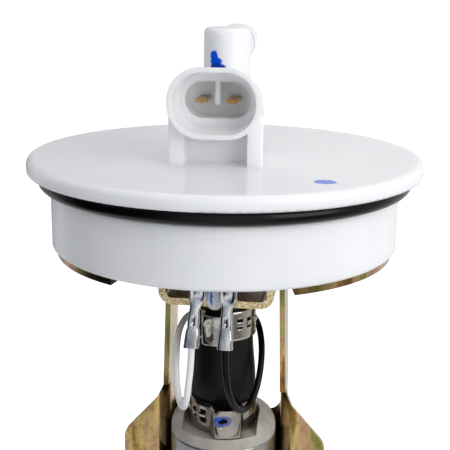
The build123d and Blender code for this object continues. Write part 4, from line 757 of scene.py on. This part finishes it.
def swell(piece, low_z, high_z):
    """Cloth under pressure, kept near its start and between two heights in millimetres."""
    rest = [vert.co.copy() for vert in piece.data.vertices]
    cloth = piece.modifiers.new("cloth", "CLOTH")
    for name, value in CLOTH.items():
        setattr(cloth.settings, name, value)
    cloth.settings.effector_weights.gravity = 0
    for step in range(1, SWELL_STEPS + 1):
        scene.frame_set(step)
    bpy.ops.object.modifier_apply(modifier="cloth")
    scene.frame_set(1)
    for vert, was in zip(piece.data.vertices, rest):
        move = vert.co - was
        if move.length > SWELL_CAP * MM:
            vert.co = was + move.normalized() * SWELL_CAP * MM
        vert.co.z = between(low_z * MM, vert.co.z, high_z * MM)


def strainer_bag():
    low, high = (Vector(corner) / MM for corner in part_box("strainer_sock"))
    mesh = bag_mesh((low + high) / 2, (high - low) / 2)
    piece = bpy.data.objects.new("strainer_bag", mesh)
    scene.collection.objects.link(piece)
    bpy.ops.object.select_all(action="DESELECT")
    piece.select_set(True)
    bpy.context.view_layer.objects.active = piece
    piece.vertex_groups.new(name="held")
    swell(piece, low.z, high.z)
    modify(piece, "SUBSURF", levels=1, render_levels=1)
    shut(piece, NYLON_MESH, "strainer_mesh", "strainer_sock", smooth=60)


strainer_bag()

# ---- studio ------------------------------------------------------------------------------------

FLOOR_SIZE = 12.0
FLOOR_GAP = 0.3 * MM
# The tones of the room all round, as degrees from -Y towards +X: pale, with an unlit side in
# front and to the left, a bright card just right of the front and a duller right side.
ROOM_TONES = ((-180, "#F0F0F0"), (-150, "#8C8E92"), (-118, "#D8D9DC"), (-90, "#15171C"),
              (-34, "#161D30"), (-15, "#B2B8C2"), (-4, "#DADDE2"), (3, "#FFFFFF"),
              (28, "#FFFFFF"), (32, "#C9C8C6"), (48, "#8A8783"), (66, "#8A8783"),
              (78, "#B5B2AE"), (110, "#D6D4D0"), (140, "#F0F0F0"), (180, "#F0F0F0"))


def panorama(tree, way, near, far):
    """What bright metal mirrors: the room's tones by turn, from the distance from +Z where
    they start to count (near) to where they count in full (far)."""
    apart = add(tree, "ShaderNodeSeparateXYZ", {0: way})
    ahead = add(tree, "ShaderNodeMath", {0: apart.outputs[1], 1: -1.0}, operation="MULTIPLY")
    turn = add(tree, "ShaderNodeMath", {0: apart.outputs[0], 1: ahead.outputs[0]},
               operation="ARCTAN2")
    share = add(tree, "ShaderNodeMapRange", {"Value": turn.outputs[0], "From Min": -math.pi,
                                             "From Max": math.pi})
    room = add(tree, "ShaderNodeValToRGB", {0: share.outputs[0]},
               stops=[(0.5 + degrees / 360, tone) for degrees, tone in ROOM_TONES])
    level = add(tree, "ShaderNodeVectorMath", {0: way, 1: (1, 1, 0)}, operation="MULTIPLY")
    reach = add(tree, "ShaderNodeVectorMath", {0: level.outputs[0]}, operation="LENGTH")
    out = add(tree, "ShaderNodeMapRange", {"Value": reach.outputs["Value"], "From Min": near,
                                           "From Max": far})
    return add(tree, "ShaderNodeMix", {MIX_FACTOR: out.outputs[0], MIX_A: "#F4F4F4",
                                       MIX_B: room.outputs[0]},
               data_type="RGBA").outputs[MIX_OUT]


def seen_directly(tree):
    """Light Path, and a node that is 1 where a surface is seen straight on or through glass."""
    paths = add(tree, "ShaderNodeLightPath")
    return paths, add(tree, "ShaderNodeMath", {0: paths.outputs["Is Camera Ray"],
                                               1: paths.outputs["Is Transmission Ray"]},
                      operation="MAXIMUM")


def make_floor():
    """Pale floor: seen straight on it is white paper, and it keeps the shadow. Mirrored, the
    paper is white round the part and takes the room's tones further out."""
    bpy.ops.object.select_all(action="DESELECT")
    low = CAD_BOX[0][2] - FLOOR_GAP
    bpy.ops.mesh.primitive_plane_add(size=FLOOR_SIZE, location=(0, 0, low))
    floor = bpy.context.object
    floor.name = "studio_floor"
    made = bpy.data.materials.new("matt white paper")
    made.use_nodes = True
    tree = made.node_tree
    tree.nodes.clear()
    paths, clear = seen_directly(tree)
    paper = add(tree, "ShaderNodeBsdfDiffuse", {"Color": "#C9CACC"})
    lit = add(tree, "ShaderNodeEmission", {"Color": "#FFFFFF", "Strength": 0.72})
    white = add(tree, "ShaderNodeAddShader", {0: paper.outputs[0], 1: lit.outputs[0]})
    mirrored = add(tree, "ShaderNodeEmission", {
        "Color": panorama(tree, add(tree, "ShaderNodeTexCoord").outputs["Object"],
                          near=0.14, far=0.2)})
    bare = add(tree, "ShaderNodeMixShader", {0: paths.outputs["Is Glossy Ray"],
                                             1: paper.outputs[0], 2: mirrored.outputs[0]})
    mixed = add(tree, "ShaderNodeMixShader", {0: clear.outputs[0], 1: bare.outputs[0],
                                              2: white.outputs[0]})
    add(tree, "ShaderNodeOutputMaterial", {"Surface": mixed.outputs[0]})
    floor.data.materials.append(made)


def make_world():
    """White to the camera. Mirrors see a pale room with an unlit side in front and to the
    left. The light that falls on the object is an even grey."""
    world = bpy.data.worlds.new("studio")
    scene.world = world
    world.use_nodes = True
    tree = world.node_tree
    tree.nodes.clear()
    way = add(tree, "ShaderNodeTexCoord").outputs["Generated"]
    even = add(tree, "ShaderNodeBackground", {"Color": "#F4F6FA", "Strength": 0.62})
    mirrored = add(tree, "ShaderNodeBackground",
                   {"Color": panorama(tree, way, near=0.6, far=0.85)})
    white = add(tree, "ShaderNodeBackground", {"Color": "#FFFFFF", "Strength": 1.0})
    paths, clear = seen_directly(tree)
    room = add(tree, "ShaderNodeMixShader", {0: paths.outputs["Is Glossy Ray"],
                                             1: even.outputs[0], 2: mirrored.outputs[0]})
    mixed = add(tree, "ShaderNodeMixShader", {0: clear.outputs[0], 1: room.outputs[0],
                                              2: white.outputs[0]})
    add(tree, "ShaderNodeOutputWorld", {"Surface": mixed.outputs[0]})


def make_lamp(name, at, aim, size, watts, code="#FFFFFF"):
    data = bpy.data.lights.new(name, "AREA")
    data.shape = "RECTANGLE"
    data.size, data.size_y = size
    data.energy = watts
    data.color = colour(code)[:3]
    lamp = bpy.data.objects.new(name, data)
    lamp.visible_camera = False
    lamp.location = at
    lamp.rotation_euler = (Vector(aim) - Vector(at)).to_track_quat("-Z", "Y").to_euler()
    scene.collection.objects.link(lamp)


make_floor()
make_world()
make_lamp("key_softbox", (0.55, -0.40, 0.20), (0, 0, -0.02), (0.5, 0.6), 3.0)
make_lamp("top_softbox", (0.1, 0.15, 0.75), (0, 0, 0), (0.7, 0.5), 0.9)
